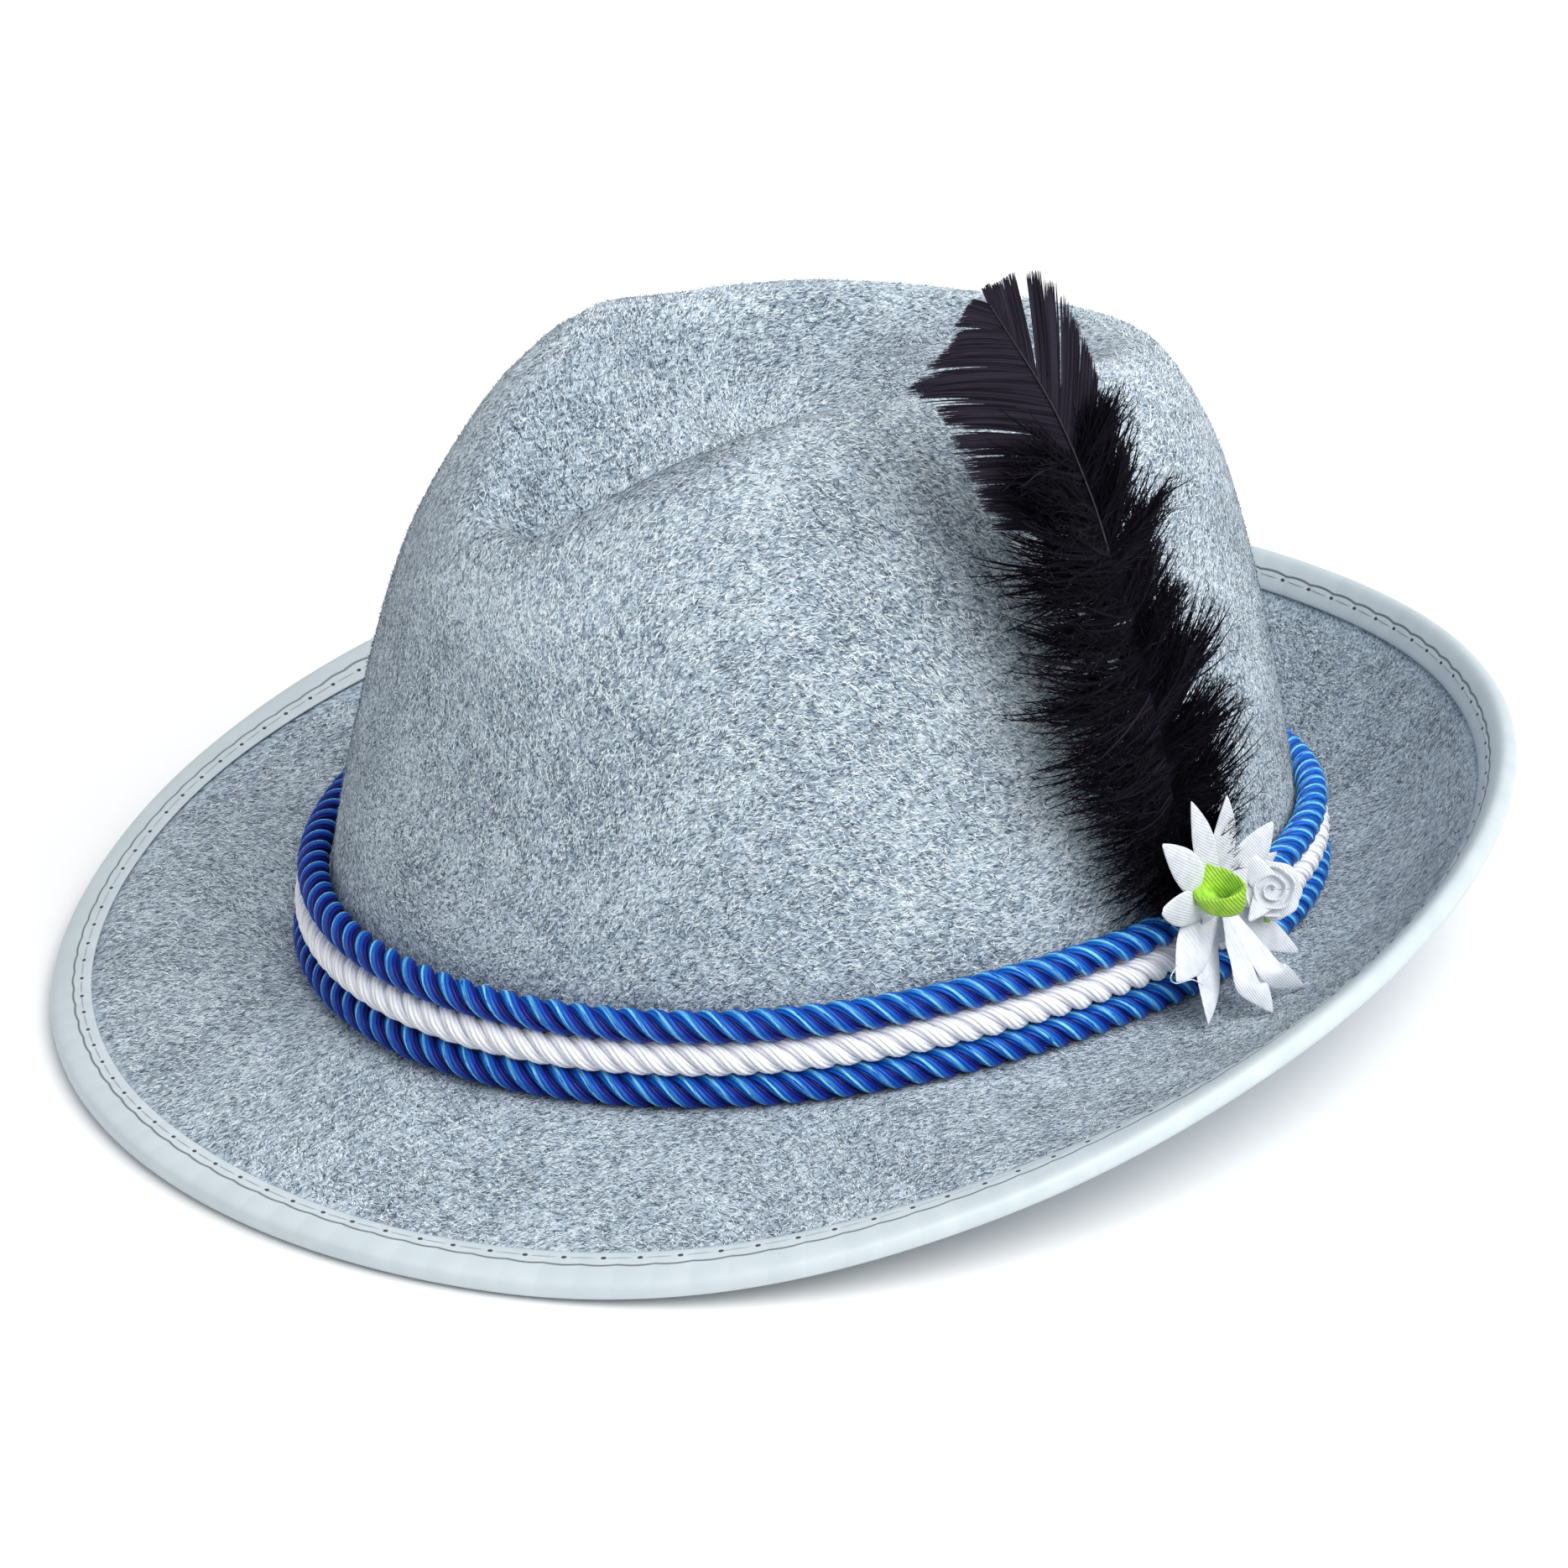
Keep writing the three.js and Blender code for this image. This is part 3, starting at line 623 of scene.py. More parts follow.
def feltNap(size, lie, shell, hems, lips):
    rng = np.random.default_rng(size["seed"])
    shell.data.calc_loop_triangles()
    corners = np.array([t.vertices[:] for t in shell.data.loop_triangles])
    triangle = placesOf(shell)[corners]
    normal = np.cross(triangle[:, 1] - triangle[:, 0], triangle[:, 2] - triangle[:, 0])
    area = np.linalg.norm(normal, axis=1) / 2
    normal = unit(normal)
    weight = area * (normal[:, 2] > lie["lowest"])
    pick = rng.choice(len(area), size["count"], p=weight / weight.sum())
    a, b = rng.random((2, size["count"]))
    flip = a + b > 1
    a[flip], b[flip] = 1 - a[flip], 1 - b[flip]
    t = triangle[pick]
    foot = t[:, 0] + a[:, None] * (t[:, 1] - t[:, 0]) + b[:, None] * (t[:, 2] - t[:, 0])
    n = normal[pick]
    level = unit(np.cross((0, 0, 1), n) + 1e-6)
    rise = np.cross(n, level)
    turn = lie["turn"] * swirl(foot, lie["waves"]) + rng.normal(0, lie["spread"], size["count"])
    along = np.cos(turn)[:, None] * level + np.sin(turn)[:, None] * rise
    side = np.cross(n, along)
    length = rng.uniform(size["shortest"], size["longest"], size["count"])[:, None]
    lift = np.abs(rng.normal(0, size["lift"], size["count"]))[:, None]
    tip = foot + length * (along + lift * n)
    half = size["width"] / 2 * side
    base = foot + lie["above"] * n
    ring = np.stack([base - half, base + half, tip], 1)
    centre = lips.mean(0)
    angle = np.arctan2(foot[:, 1] - centre[1], foot[:, 0] - centre[0])
    hemAngle = np.arctan2(hems[:, 1] - centre[1], hems[:, 0] - centre[0])
    hemReach = np.linalg.norm(hems[:, :2] - centre[:2], axis=1)
    order = np.argsort(hemAngle)
    limit = np.interp(angle, hemAngle[order], hemReach[order], period=2 * math.pi)
    keep = np.linalg.norm(foot[:, :2] - centre[:2], axis=1) < limit - lie["hemGap"]
    shade = rng.choice(lie["shades"], size["count"], p=lie["shares"])
    # nap painted lighter on the crown's ridge and darker in its hollow, as painted light and shade
    ridge, valley = crownRelief(foot, crown)
    shade = np.clip(shade + lie["ridgeShade"] * (ridge - valley), 0, 1)
    points = ring[keep].reshape(-1, 3)
    faces = np.arange(len(points)).reshape(-1, 3)
    return fastFaces(size["name"], points, faces, np.repeat(shade[keep], 3))


napLook = {
    "dark": (0.03, 0.05, 0.085),
    "middle": (0.37, 0.46, 0.545),
    "light": (0.93, 0.99, 1.0),
    "roughness": 0.9,
    "shine": 0.15,
}
napMat = strandMaterial("nap", napLook)
for nap in naps:
    finishPiece(feltNap(nap, napLie, feltMesh, hemRing, lipRing), "felt", napMat)
print("felt nap is laid")


# cords of three strands, twisted round the line of each solid
cordSize = {
    "sections": 54,
    "lay": 14.4 * mm,
    "strandRadius": 1.58 * mm,
    "strandOffset": 1.68 * mm,
    "stepsPerTurn": 20,
    "sides": 12,
    "strands": 3,
    "flatten": 0.97,
}


def twistedCord(name, node, size):
    rows, _ = sectionRows(node, size["sections"])
    rough = rows.mean(1)
    _, length = closedLine(rough, 400)
    turns = round(length / size["lay"])
    rings = turns * size["stepsPerTurn"]
    curve, length = closedLine(rough, rings)
    along = unit(np.roll(curve, -1, 0) - np.roll(curve, 1, 0))
    outwards = unit(np.cross(along, (0, 0, 1)))
    up = np.cross(outwards, along)
    points, faces, uvs = [], [], []
    sides = size["sides"]
    around = np.arange(sides) * 2 * math.pi / sides
    cosine, sine = np.cos(around)[None, :, None], np.sin(around)[None, :, None]
    for strand in range(size["strands"]):
        phase = 2 * math.pi * (strand / size["strands"] - np.arange(rings) * turns / rings)
        away = np.cos(phase)[:, None] * outwards + np.sin(phase)[:, None] * up
        centre = curve + size["strandOffset"] * away
        ahead = unit(np.roll(centre, -1, 0) - np.roll(centre, 1, 0))
        flat = unit(np.cross(ahead, away))
        tall = np.cross(flat, ahead)
        ring = cosine * tall[:, None] * size["flatten"] + sine * flat[:, None]
        shift = strand * rings * sides
        points.append((centre[:, None] + size["strandRadius"] * ring).reshape(-1, 3))
        for face in tubeFaces(rings, sides, True):
            faces.append(tuple(v + shift for v in face))
        for i in range(rings):
            for j in range(sides):
                u0, u1 = j / sides, (j + 1) / sides
                v0, v1 = i / size["stepsPerTurn"], (i + 1) / size["stepsPerTurn"]
                uvs += [(u0, v0), (u1, v0), (u1, v1), (u0, v1)]
    piece = newMesh(name, np.concatenate(points), faces, uvs)
    faceOutwards(piece)
    smoothFaces(piece)
    return piece


# a painted glint along each strand, broken where the noise is low
cordGlint = {"at": 0.08, "width": 0.055, "from": 0.44}
# cord tones: the valley and side colours are painted shade between and under the strands, the crest colour is
# painted light on each strand's lit flank
cordLooks = {
    "blue": {
        "valley": (0.0006, 0.004, 0.10), "side": (0.0005, 0.009, 0.24),
        "paintedCrestLight": (0.001, 0.13, 0.62), "paintedGlint": (0.26, 0.80, 1.0),
        "roughness": 0.40, "lines": 10, "bump": 0.9, "glow": 0.0, "shine": 0.28, "litSideShift": 0.11,
    },
    "white": {
        "valley": (0.55, 0.58, 0.70), "side": (0.86, 0.87, 0.93),
        "paintedCrestLight": (0.94, 0.94, 0.97), "paintedGlint": (0.97, 0.97, 0.98),
        "roughness": 0.42, "lines": 9, "bump": 1.0, "glow": 0.07, "shine": 0.4, "litSideShift": 0.0,
    },
}


# the map runs once round each strand in u and one turn of the cord in v
def cordMaterial(name, look, glint):
    material, tree, shader = nodeTree(name)
    lie, around, ahead = mapNodes(tree, "lie")
    # each strand painted lighter on its lit flank and darker on the far one, as painted light and shade
    lit = mathNode(tree, "MULTIPLY", mathNode(tree, "SUBTRACT", around, look["litSideShift"]), 2 * math.pi)
    paintedCrestLight = mathNode(tree, "COSINE", lit)
    turns = mathNode(tree, "ADD", mathNode(tree, "MULTIPLY", around, look["lines"]), ahead)
    plies = mathNode(tree, "ABSOLUTE", mathNode(tree, "SINE", mathNode(tree, "MULTIPLY", turns, math.pi)))
    stretch = addNode(tree, "ShaderNodeMapping", Scale=(34, 5, 1))
    tree.links.new(lie, stretch.inputs["Vector"])
    noise = addNode(tree, "ShaderNodeTexNoise", Scale=1.0, Detail=3.0)
    tree.links.new(stretch.outputs[0], noise.inputs["Vector"])
    ragged = mathNode(tree, "MULTIPLY", mathNode(tree, "SUBTRACT", noise.outputs["Fac"], 0.5), 0.5)
    tone = mathNode(tree, "ADD", mathNode(tree, "MULTIPLY", paintedCrestLight, 0.5), 0.5)
    tone = mathNode(tree, "ADD", mathNode(tree, "ADD", tone, ragged), mathNode(tree, "MULTIPLY", plies, 0.08))
    thread = ramp(tree, tone, [(0.38, look["valley"]), (0.66, look["side"]), (0.98, look["paintedCrestLight"])])
    # painted highlight: a thin bright line along each strand where the noise is high
    off = mathNode(tree, "FRACT", mathNode(tree, "ADD", around, 0.5))
    off = mathNode(tree, "ABSOLUTE", mathNode(tree, "SUBTRACT", off, 0.5 + glint["at"]))
    line = mathNode(tree, "SUBTRACT", 1.0, mathNode(tree, "DIVIDE", off, glint["width"]))
    broken = mathNode(tree, "GREATER_THAN", noise.outputs["Fac"], glint["from"])
    glintMask = mathNode(tree, "MULTIPLY", mathNode(tree, "MAXIMUM", line, 0.0), broken)
    mix = addNode(tree, "ShaderNodeMix", data_type="RGBA")
    tree.links.new(glintMask, mix.inputs["Factor"])
    tree.links.new(thread, mix.inputs["A"])
    mix.inputs["B"].default_value = (*look["paintedGlint"], 1)
    tree.links.new(mix.outputs["Result"], shader.inputs["Base Color"])
    # a faint painted glow from the emission brightens the white cord's shaded valleys
    tree.links.new(mix.outputs["Result"], shader.inputs["Emission Color"])
    setInputs(shader, {"Emission Strength": look["glow"]})
    height = mathNode(tree, "ADD", plies, mathNode(tree, "MULTIPLY", noise.outputs["Fac"], 0.5))
    bumpInto(tree, shader, height, look["bump"], 0.0003)
    setInputs(shader, {"Roughness": look["roughness"], "Specular IOR Level": look["shine"]})
    return material


blueMat = cordMaterial("blueSatinCord", cordLooks["blue"], cordGlint)
whiteMat = cordMaterial("whiteSatinCord", cordLooks["white"], cordGlint)
for node, name, slotName, material in (
    ("cord_blue_lower", "cordLower", "cord_blue", blueMat),
    ("cord_white", "cordMiddle", "cord_white", whiteMat),
    ("cord_blue_upper", "cordUpper", "cord_blue", blueMat),
):
    finishPiece(twistedCord(name, node, cordSize), slotName, material, node)
print("cords are twisted")


# feather: shaft, firm barbs of the tip and down of the lower part
plume = {
    "foot": (86.364, 24.9, 31.165),
    "length": 135.0,
    "end": 0.965,
    "lean": 2.939,
    "faces": (0.9544, -0.0859, 0.2861),
    "firmFrom": 0.58,
    "firmBarbs": 900,
    "firmWidth": 0.46 * mm,
    "downTo": 0.71,
    "downBarbs": 2300,
    "downWidth": 0.5 * mm,
    "bunches": 46,
    "threads": 13,
    "threadWidth": 0.14 * mm,
    "seed": 5,
}
shaftTable = [
    {"out": 0, "back": 0, "up": 0},
    {"out": 0.01, "back": -0.035, "up": 0.075},
    {"out": 0.015, "back": -0.065, "up": 0.175},
    {"out": 0.008, "back": -0.098, "up": 0.31},
    {"out": -0.011, "back": -0.122, "up": 0.41},
    {"out": -0.037, "back": -0.14, "up": 0.51},
    {"out": -0.064, "back": -0.166, "up": 0.617},
    {"out": -0.097, "back": -0.211, "up": 0.747},
    {"out": -0.133, "back": -0.285, "up": 0.883},
    {"out": -0.145, "back": -0.311, "up": 0.925},
]
# barbs towards the hat's front and back: length in millimetres and lean off the shaft in degrees
firmTable = [
    {"at": 0.58, "front": 25, "frontLean": 60, "back": 18, "backLean": 36},
    {"at": 0.65, "front": 26, "frontLean": 58, "back": 20, "backLean": 33},
    {"at": 0.72, "front": 26.5, "frontLean": 56, "back": 22, "backLean": 31},
    {"at": 0.77, "front": 27, "frontLean": 54, "back": 24.5, "backLean": 29},
    {"at": 0.815, "front": 30, "frontLean": 51, "back": 22, "backLean": 28},
    {"at": 0.85, "front": 23, "frontLean": 51, "back": 18, "backLean": 27},
    {"at": 0.89, "front": 16, "frontLean": 50, "back": 13, "backLean": 25},
    {"at": 0.93, "front": 9.5, "frontLean": 46, "back": 8, "backLean": 22},
    {"at": 0.965, "front": 4, "frontLean": 34, "back": 3.5, "backLean": 12},
]
downTable = [
    {"at": 0, "front": 9, "frontLean": 84, "back": 8, "backLean": 72},
    {"at": 0.128, "front": 22, "frontLean": 82, "back": 18, "backLean": 66},
    {"at": 0.262, "front": 25, "frontLean": 79, "back": 18, "backLean": 60},
    {"at": 0.373, "front": 26.5, "frontLean": 76, "back": 17, "backLean": 55},
    {"at": 0.493, "front": 26.5, "frontLean": 72, "back": 18, "backLean": 50},
    {"at": 0.617, "front": 26, "frontLean": 66, "back": 19, "backLean": 46},
    {"at": 0.71, "front": 23, "frontLean": 58, "back": 17, "backLean": 42},
]
# shares of the shaft where the firm tip splits
splits = {
    "front": (0.60, 0.655, 0.70, 0.735, 0.785, 0.85, 0.92, 1.01),
    "back": (0.60, 0.66, 0.72, 0.765, 0.80, 0.835, 0.93, 1.01),
}
splitLean = {
    "front": (0, -0.5, 0.5, 1.5, -0.5, 0.3, 0, 0),
    "back": (0, 0.5, 1.5, 2.5, 0.5, 2.5, -3, 0),
}


def column(table, key, places):
    return np.interp(places, [row["at"] for row in table], [row[key] for row in table])


def shaftLine(size, count):
    turn = math.radians(size["lean"])
    cosine, sine = math.cos(turn), math.sin(turn)
    points = []
    for row in shaftTable:
        x, y, z = (row[key] * size["length"] for key in ("out", "back", "up"))
        points.append((x, y * cosine + z * sine, z * cosine - y * sine))
    points = np.array(points) + np.array(size["foot"])
    return openLine(points, count) * mm


def shaftFrame(size):
    count = 400
    line = shaftLine(size, count)
    along = unit(np.gradient(line, axis=0))
    back = unit(np.cross(along, unit(size["faces"])))
    out = np.cross(back, along)

    def at(share):
        place = np.clip(share * (count - 1), 0, count - 2)
        low = place.astype(int)
        rest = (place - low)[:, None]
        spot = line[low] * (1 - rest) + line[low + 1] * rest
        return spot, along[low], back[low], out[low]

    return at


# strips that bend off their chord and narrow towards the tip
def ribbons(start, chord, bend, length, width, normal, steps):
    s = np.linspace(0, 1, steps + 1)[None, :, None]
    line = start[:, None] + length[:, None, None] * (s * (chord - bend)[:, None] + s ** 2 * bend[:, None])
    along = unit(np.gradient(line, axis=1))
    side = unit(np.cross(along, normal[:, None]))
    half = width * (1 - 0.85 * s ** 3) / 2
    return np.stack([line - side * half, line + side * half], 2), line


def firmVane(size, at, key, sign, rng):
    count = size["firmBarbs"]
    share = np.sort(size["firmFrom"] + (size["end"] - size["firmFrom"]) * rng.random(count))
    spot, along, back, out = at(share)
    edges = np.array((size["firmFrom"],) + splits[key])
    member = np.searchsorted(edges, share, side="right") - 1
    inside = (share - edges[member]) / (edges[member + 1] - edges[member]) - 0.5
    gather = 3.0 * inside * (edges[member + 1] - edges[member]) / 0.055
    lean = column(firmTable, key + "Lean", share) + np.array(splitLean[key])[member] + gather
    lean = np.radians(lean + rng.normal(0, 0.9, count))
    length = column(firmTable, key, share) * mm * (1 - 0.06 * inside - 0.16 * rng.random(count) ** 2)
    chord = np.cos(lean)[:, None] * along + sign * np.sin(lean)[:, None] * back
    chord = chord - (0.03 + 0.02 * (member % 2))[:, None] * out
    bend = (-0.16 if sign < 0 else 0.12) * along
    strips, _ = ribbons(spot, chord, bend, length, size["firmWidth"], out, 9)
    return strips, rng.uniform(0.4, 1.0, count)


def downBarbs(size, at, rng):
    count = size["downBarbs"]
    share = size["downTo"] * rng.random(count) ** 0.95
    sign = rng.choice([-1.0, 1.0], count)
    spot, along, back, out = at(share)
    front = sign < 0
    reach = np.where(front, column(downTable, "front", share), column(downTable, "back", share)) * mm
    lean = np.where(front, column(downTable, "frontLean", share), column(downTable, "backLean", share))
    place = share / size["downTo"] * size["bunches"] + rng.normal(0, 0.4, count)
    bunch = np.clip(place.astype(int), 0, size["bunches"] - 1) + size["bunches"] * front
    inside = place % 1 - 0.5
    both = 2 * size["bunches"]
    bunchLean = rng.normal(0, 7.5, both)[bunch]
    bunchReach = rng.normal(0.93, 0.12, both)[bunch]
    bunchOut = rng.normal(0.10, 0.18, both)[bunch]
    bunchTone = rng.uniform(0.0, 0.55, both)[bunch]
    bunchBend = rng.normal(0.22, 0.15, both)[bunch]
    lean = np.radians(lean + bunchLean + 9 * inside + rng.normal(0, 9, count))
    length = reach * bunchReach * (1 - 0.4 * rng.random(count) ** 1.6)
    lift = bunchOut + rng.normal(0.02, 0.12, count)
    chord = np.cos(lean)[:, None] * along + (sign * np.sin(lean))[:, None] * back + lift[:, None] * out
    bend = along * (bunchBend + rng.normal(0, 0.12, count))[:, None] - 0.12 * out
    strips, line = ribbons(spot, unit(chord), bend, length, size["downWidth"], out, 9)
    return strips, np.clip(bunchTone + rng.normal(0, 0.1, count), 0, 1), line, out


def downThreads(size, line, out, rng):
    count = len(line) * size["threads"]
    pick = rng.integers(0, len(line), count)
    step = rng.uniform(0.10, 1.0, count)
    low = (step * 8.999).astype(int)
    rest = (step * 8.999 - low)[:, None]
    start = line[pick, low] * (1 - rest) + line[pick, low + 1] * rest
    ahead = unit(line[pick, low + 1] - line[pick, low])
    side = unit(np.cross(ahead, out[pick]))
    swing = rng.choice([-1.0, 1.0], count) * rng.uniform(0.2, 0.75, count)
    chord = unit(ahead + swing[:, None] * side + rng.normal(0, 0.3, count)[:, None] * out[pick])
    length = rng.uniform(1.6, 4.4, count) * mm * (1.05 - 0.5 * step)
    bend = 0.3 * ahead + rng.normal(0, 0.15, (count, 3))
    strips, _ = ribbons(start, chord, bend, length, size["threadWidth"], out[pick], 2)
    return strips, rng.uniform(0.1, 0.8, count)


def stripMesh(name, groups):
    points, faces, tone = [], [], []
    shift = 0
    for strips, shades in groups:
        count, steps = strips.shape[:2]
        index = np.arange(count * steps * 2).reshape(count, steps, 2) + shift
        quads = np.stack([index[:, :-1, 0], index[:, :-1, 1], index[:, 1:, 1], index[:, 1:, 0]], -1)
        points.append(strips.reshape(-1, 3))
        faces.append(quads.reshape(-1, 4))
        tone.append(np.repeat(shades, steps * 2))
        shift += count * steps * 2
    return fastFaces(name, np.concatenate(points), np.concatenate(faces), np.concatenate(tone))


def feather(size):
    rng = np.random.default_rng(size["seed"])
    at = shaftFrame(size)
    soft, softTone, line, out = downBarbs(size, at, rng)
    groups = [
        firmVane(size, at, "front", -1, rng),
        firmVane(size, at, "back", 1, rng),
        (soft, softTone),
        downThreads(size, line, out, rng),
    ]
    share = np.linspace(0, size["end"], 70)
    spot, _, _, lift = at(share)
    radii = np.interp(share, [0, 0.6, 0.965], [0.8, 0.26, 0.09]) * mm
    stand = np.interp(share, [0, 0.5, 0.64, 1], [-0.7, -0.7, 0.3, 0.15]) * mm
    return stripMesh("featherBarbs", groups), tube("featherShaft", spot + stand[:, None] * lift, radii)


barbLook = {
    "dark": (0.0010, 0.0009, 0.0022),
    "middle": (0.007, 0.0055, 0.0105),
    "light": (0.028, 0.024, 0.038),
    "roughness": 0.75,
    "shine": 0.06,
}
barbs, quill = feather(plume)
finishPiece(barbs, "feather", strandMaterial("blackBarbs", barbLook), "feather")
finishPiece(quill, "feather", plainMaterial("quill", (0.022, 0.02, 0.03), 0.4))
print("feather is made")


# flower: star of satin petals, green loop and white rose
flower = {
    "centre": (90.195, 28.24, 29.53),
    "side": (-0.187, 0.9811, -0.0504),
    "up": (0.0, 0.0513, 0.9987),
    "out": (0.9824, 0.1868, -0.0096),
    "radius": 24.0,
    "heart": 7.5,
    "petalHalf": 3.5,
    "rim": 0.3,
    "cup": 0.55,
    "above": 0.25,
    "layer": 0.22,
    "wall": 0.28 * mm,
    "heartWall": 0.2 * mm,
}
# petals by their turn from the level at the hat's back; reach and lift are shares of the radius
petalTable = [
    {"turn": 0, "reach": 0.7, "lift": 0.05, "wide": 0.95, "blunt": 0, "tilt": 0},
    {"turn": 24, "reach": 0.68, "lift": 0.06, "wide": 0.95, "blunt": 0, "tilt": 0},
    {"turn": 50, "reach": 0.77, "lift": 0.08, "wide": 1.15, "blunt": 0.15, "tilt": -0.3},
    {"turn": 99, "reach": 1.05, "lift": 0.1, "wide": 1.05, "blunt": 0, "tilt": -0.1},
    {"turn": 119, "reach": 1.3, "lift": 0.08, "wide": 0.95, "blunt": 0, "tilt": 0},
    {"turn": 138, "reach": 1.35, "lift": 0.08, "wide": 1.05, "blunt": 0.1, "tilt": 0},
    {"turn": 161, "reach": 1.06, "lift": 0.12, "wide": 1.05, "blunt": 0.45, "tilt": 0},
    {"turn": 195, "reach": 0.96, "lift": 0.22, "wide": 1.15, "blunt": 0.05, "tilt": 0.6},
    {"turn": 220, "reach": 0.97, "lift": 0.4, "wide": 1.1, "blunt": 0, "tilt": 0.35},
    {
        "turn": 246, "reach": 0.67, "lift": 0.7, "wide": 0.85, "blunt": 0, "tilt": 0.55,
        "foldTurn": 229, "foldReach": 0.516, "foldLift": 0.5,
    },
    {
        "turn": 293, "reach": 0.645, "lift": 0.62, "wide": 0.85, "blunt": 0, "tilt": 0.2,
        "foldTurn": 269, "foldReach": 0.433, "foldLift": 0.5,
    },
    {"turn": 319, "reach": 0.75, "lift": 0.34, "wide": 1.0, "blunt": 0.1, "tilt": 0},
]
# a petal's width along its way, as a share of its widest
petalWidth = {
    "at": (0, 0.2, 0.4, 0.55, 0.7, 0.85, 0.95, 1.0),
    "wide": (0.5, 0.72, 0.95, 1.0, 0.86, 0.5, 0.2, 0.02),
}
flowerAxes = np.array([flower["side"], flower["up"], flower["out"]])
viewAxes = np.array([view["right"], view["up"], view["back"]])


# places given in millimetres along the view's axes, or along the flower's own
def facingPoint(place, right, up, out, axes=viewAxes):
    local = np.stack(np.broadcast_arrays(right, up, out), -1).astype(float)
    return (local @ axes + np.array(place)) * mm


def flowerPoint(side, up, out):
    return facingPoint(flower["centre"], side, up, out, flowerAxes)


# a grid of cloth bent to its places, then given its thickness
def sheetPiece(name, grid, thickness):
    rows, columns = grid.shape[:2]
    bpy.ops.mesh.primitive_grid_add(x_subdivisions=columns - 1, y_subdivisions=rows - 1, size=1)
    piece = bpy.context.object
    piece.name = name
    piece.data.vertices.foreach_set("co", grid.reshape(-1, 3).astype(np.float32).ravel())
    piece.data.update()
    plump = piece.modifiers.new("plump", "SOLIDIFY")
    plump.thickness = thickness
    plump.offset = 0
    soften = piece.modifiers.new("soften", "SUBSURF")
    soften.levels = 1
    soften.render_levels = 1
    applyAll(piece)
    faceOutwards(piece)
    smoothFaces(piece, 70)
    return piece


def polar(size, turn, reach, lift):
    angle = math.radians(turn)
    radius = size["radius"]
    return np.array((reach * radius * math.cos(angle), reach * radius * math.sin(angle), lift * radius))


def petalGrid(size, row, layer):
    t = np.linspace(0, 1, 19)
    w = np.linspace(-1, 1, 9)[None, :]
    tip = polar(size, row["turn"], row["reach"], row["lift"])
    if "foldTurn" in row:
        fold = polar(size, row["foldTurn"], row["foldReach"], row["foldLift"])
        places, stops = [0, 0.58, 1], np.array([(0, 0, 0), fold, tip])
    else:
        start = size["rim"] / row["reach"]
        rim = tip * (start, start, 0)
        places, stops = [0, start, 1], np.array([(0, 0, 0), rim, tip])
    middle = np.stack([np.interp(t, places, stops[:, k]) for k in range(3)], 1)
    ahead = unit(np.gradient(middle[:, :2], axis=0))
    narrow = np.interp(t, petalWidth["at"], petalWidth["wide"])
    rounded = np.sqrt(np.clip(1 - np.clip((t - 0.6) / 0.42, 0, 1) ** 2, 0, 1))
    rounded = np.minimum(rounded, np.interp(t, [0, 0.55], [0.5, 1]))
    profile = narrow * (1 - row["blunt"]) + row["blunt"] * rounded
    across = size["petalHalf"] * row["wide"] * profile[:, None] * w
    side = middle[:, :1] - ahead[:, 1:] * across
    up = middle[:, 1:2] + ahead[:, :1] * across
    cup = size["cup"] * (1 - w ** 2) * profile[:, None]
    out = middle[:, 2:] + cup + row["tilt"] * across * np.minimum(3 * t, 1)[:, None] + layer
    return flowerPoint(side, up, out + size["above"])


def heartDisc(size):
    turn = np.linspace(0, 2 * math.pi, 49)[:, None]
    reach = np.linspace(0.05, 1, 7)[None, :]
    ripple = 0.35 * np.sin(turn * 12 + 0.6) * reach ** 1.5
    side = size["heart"] * reach * np.cos(turn)
    up = size["heart"] * reach * np.sin(turn)
    return flowerPoint(side, up, 0.95 + ripple - 0.3 * reach)


petals = []
for place, row in enumerate(petalTable):
    grid = petalGrid(flower, row, flower["layer"] * (place % 3))
    petals.append(sheetPiece("petal%02d" % place, grid, flower["wall"]))
petals.append(sheetPiece("petalHeart", heartDisc(flower), flower["heartWall"]))
star = joinPieces(petals, "satinStar")


satinLooks = {
    "whiteSatin": {
        "colour": (0.76, 0.785, 0.83), "shade": (0.64, 0.67, 0.74),
        "ribs": 900.0, "ribDepth": 0.4, "roughness": 0.40,
    },
    "greenRibbon": {
        "colour": (0.42, 0.74, 0.05), "shade": (0.22, 0.50, 0.02),
        "ribs": 620.0, "ribDepth": 0.9, "roughness": 0.5,
    },
}


def satinMaterial(name, look):
    material, tree, shader = nodeTree(name)
    place = addNode(tree, "ShaderNodeTexCoord")
    wave = addNode(tree, "ShaderNodeTexWave", bands_direction="DIAGONAL", Scale=look["ribs"], Distortion=0.6)
    tree.links.new(place.outputs["Object"], wave.inputs["Vector"])
    noise = objectNoise(tree, 420, 3)
    colour = ramp(tree, noise, [(0.3, look["shade"]), (0.6, look["colour"])])
    tree.links.new(colour, shader.inputs["Base Color"])
    height = mathNode(tree, "ADD", wave.outputs["Fac"], mathNode(tree, "MULTIPLY", noise, 0.6))
    bumpInto(tree, shader, height, look["ribDepth"], 0.0002)
    setInputs(shader, {"Roughness": look["roughness"], "Sheen Weight": 0.15})
    return material


satinMat = satinMaterial("whiteSatin", satinLooks["whiteSatin"])
greenMat = satinMaterial("greenRibbon", satinLooks["greenRibbon"])
finishPiece(star, "satin_white", satinMat, "petal_star")

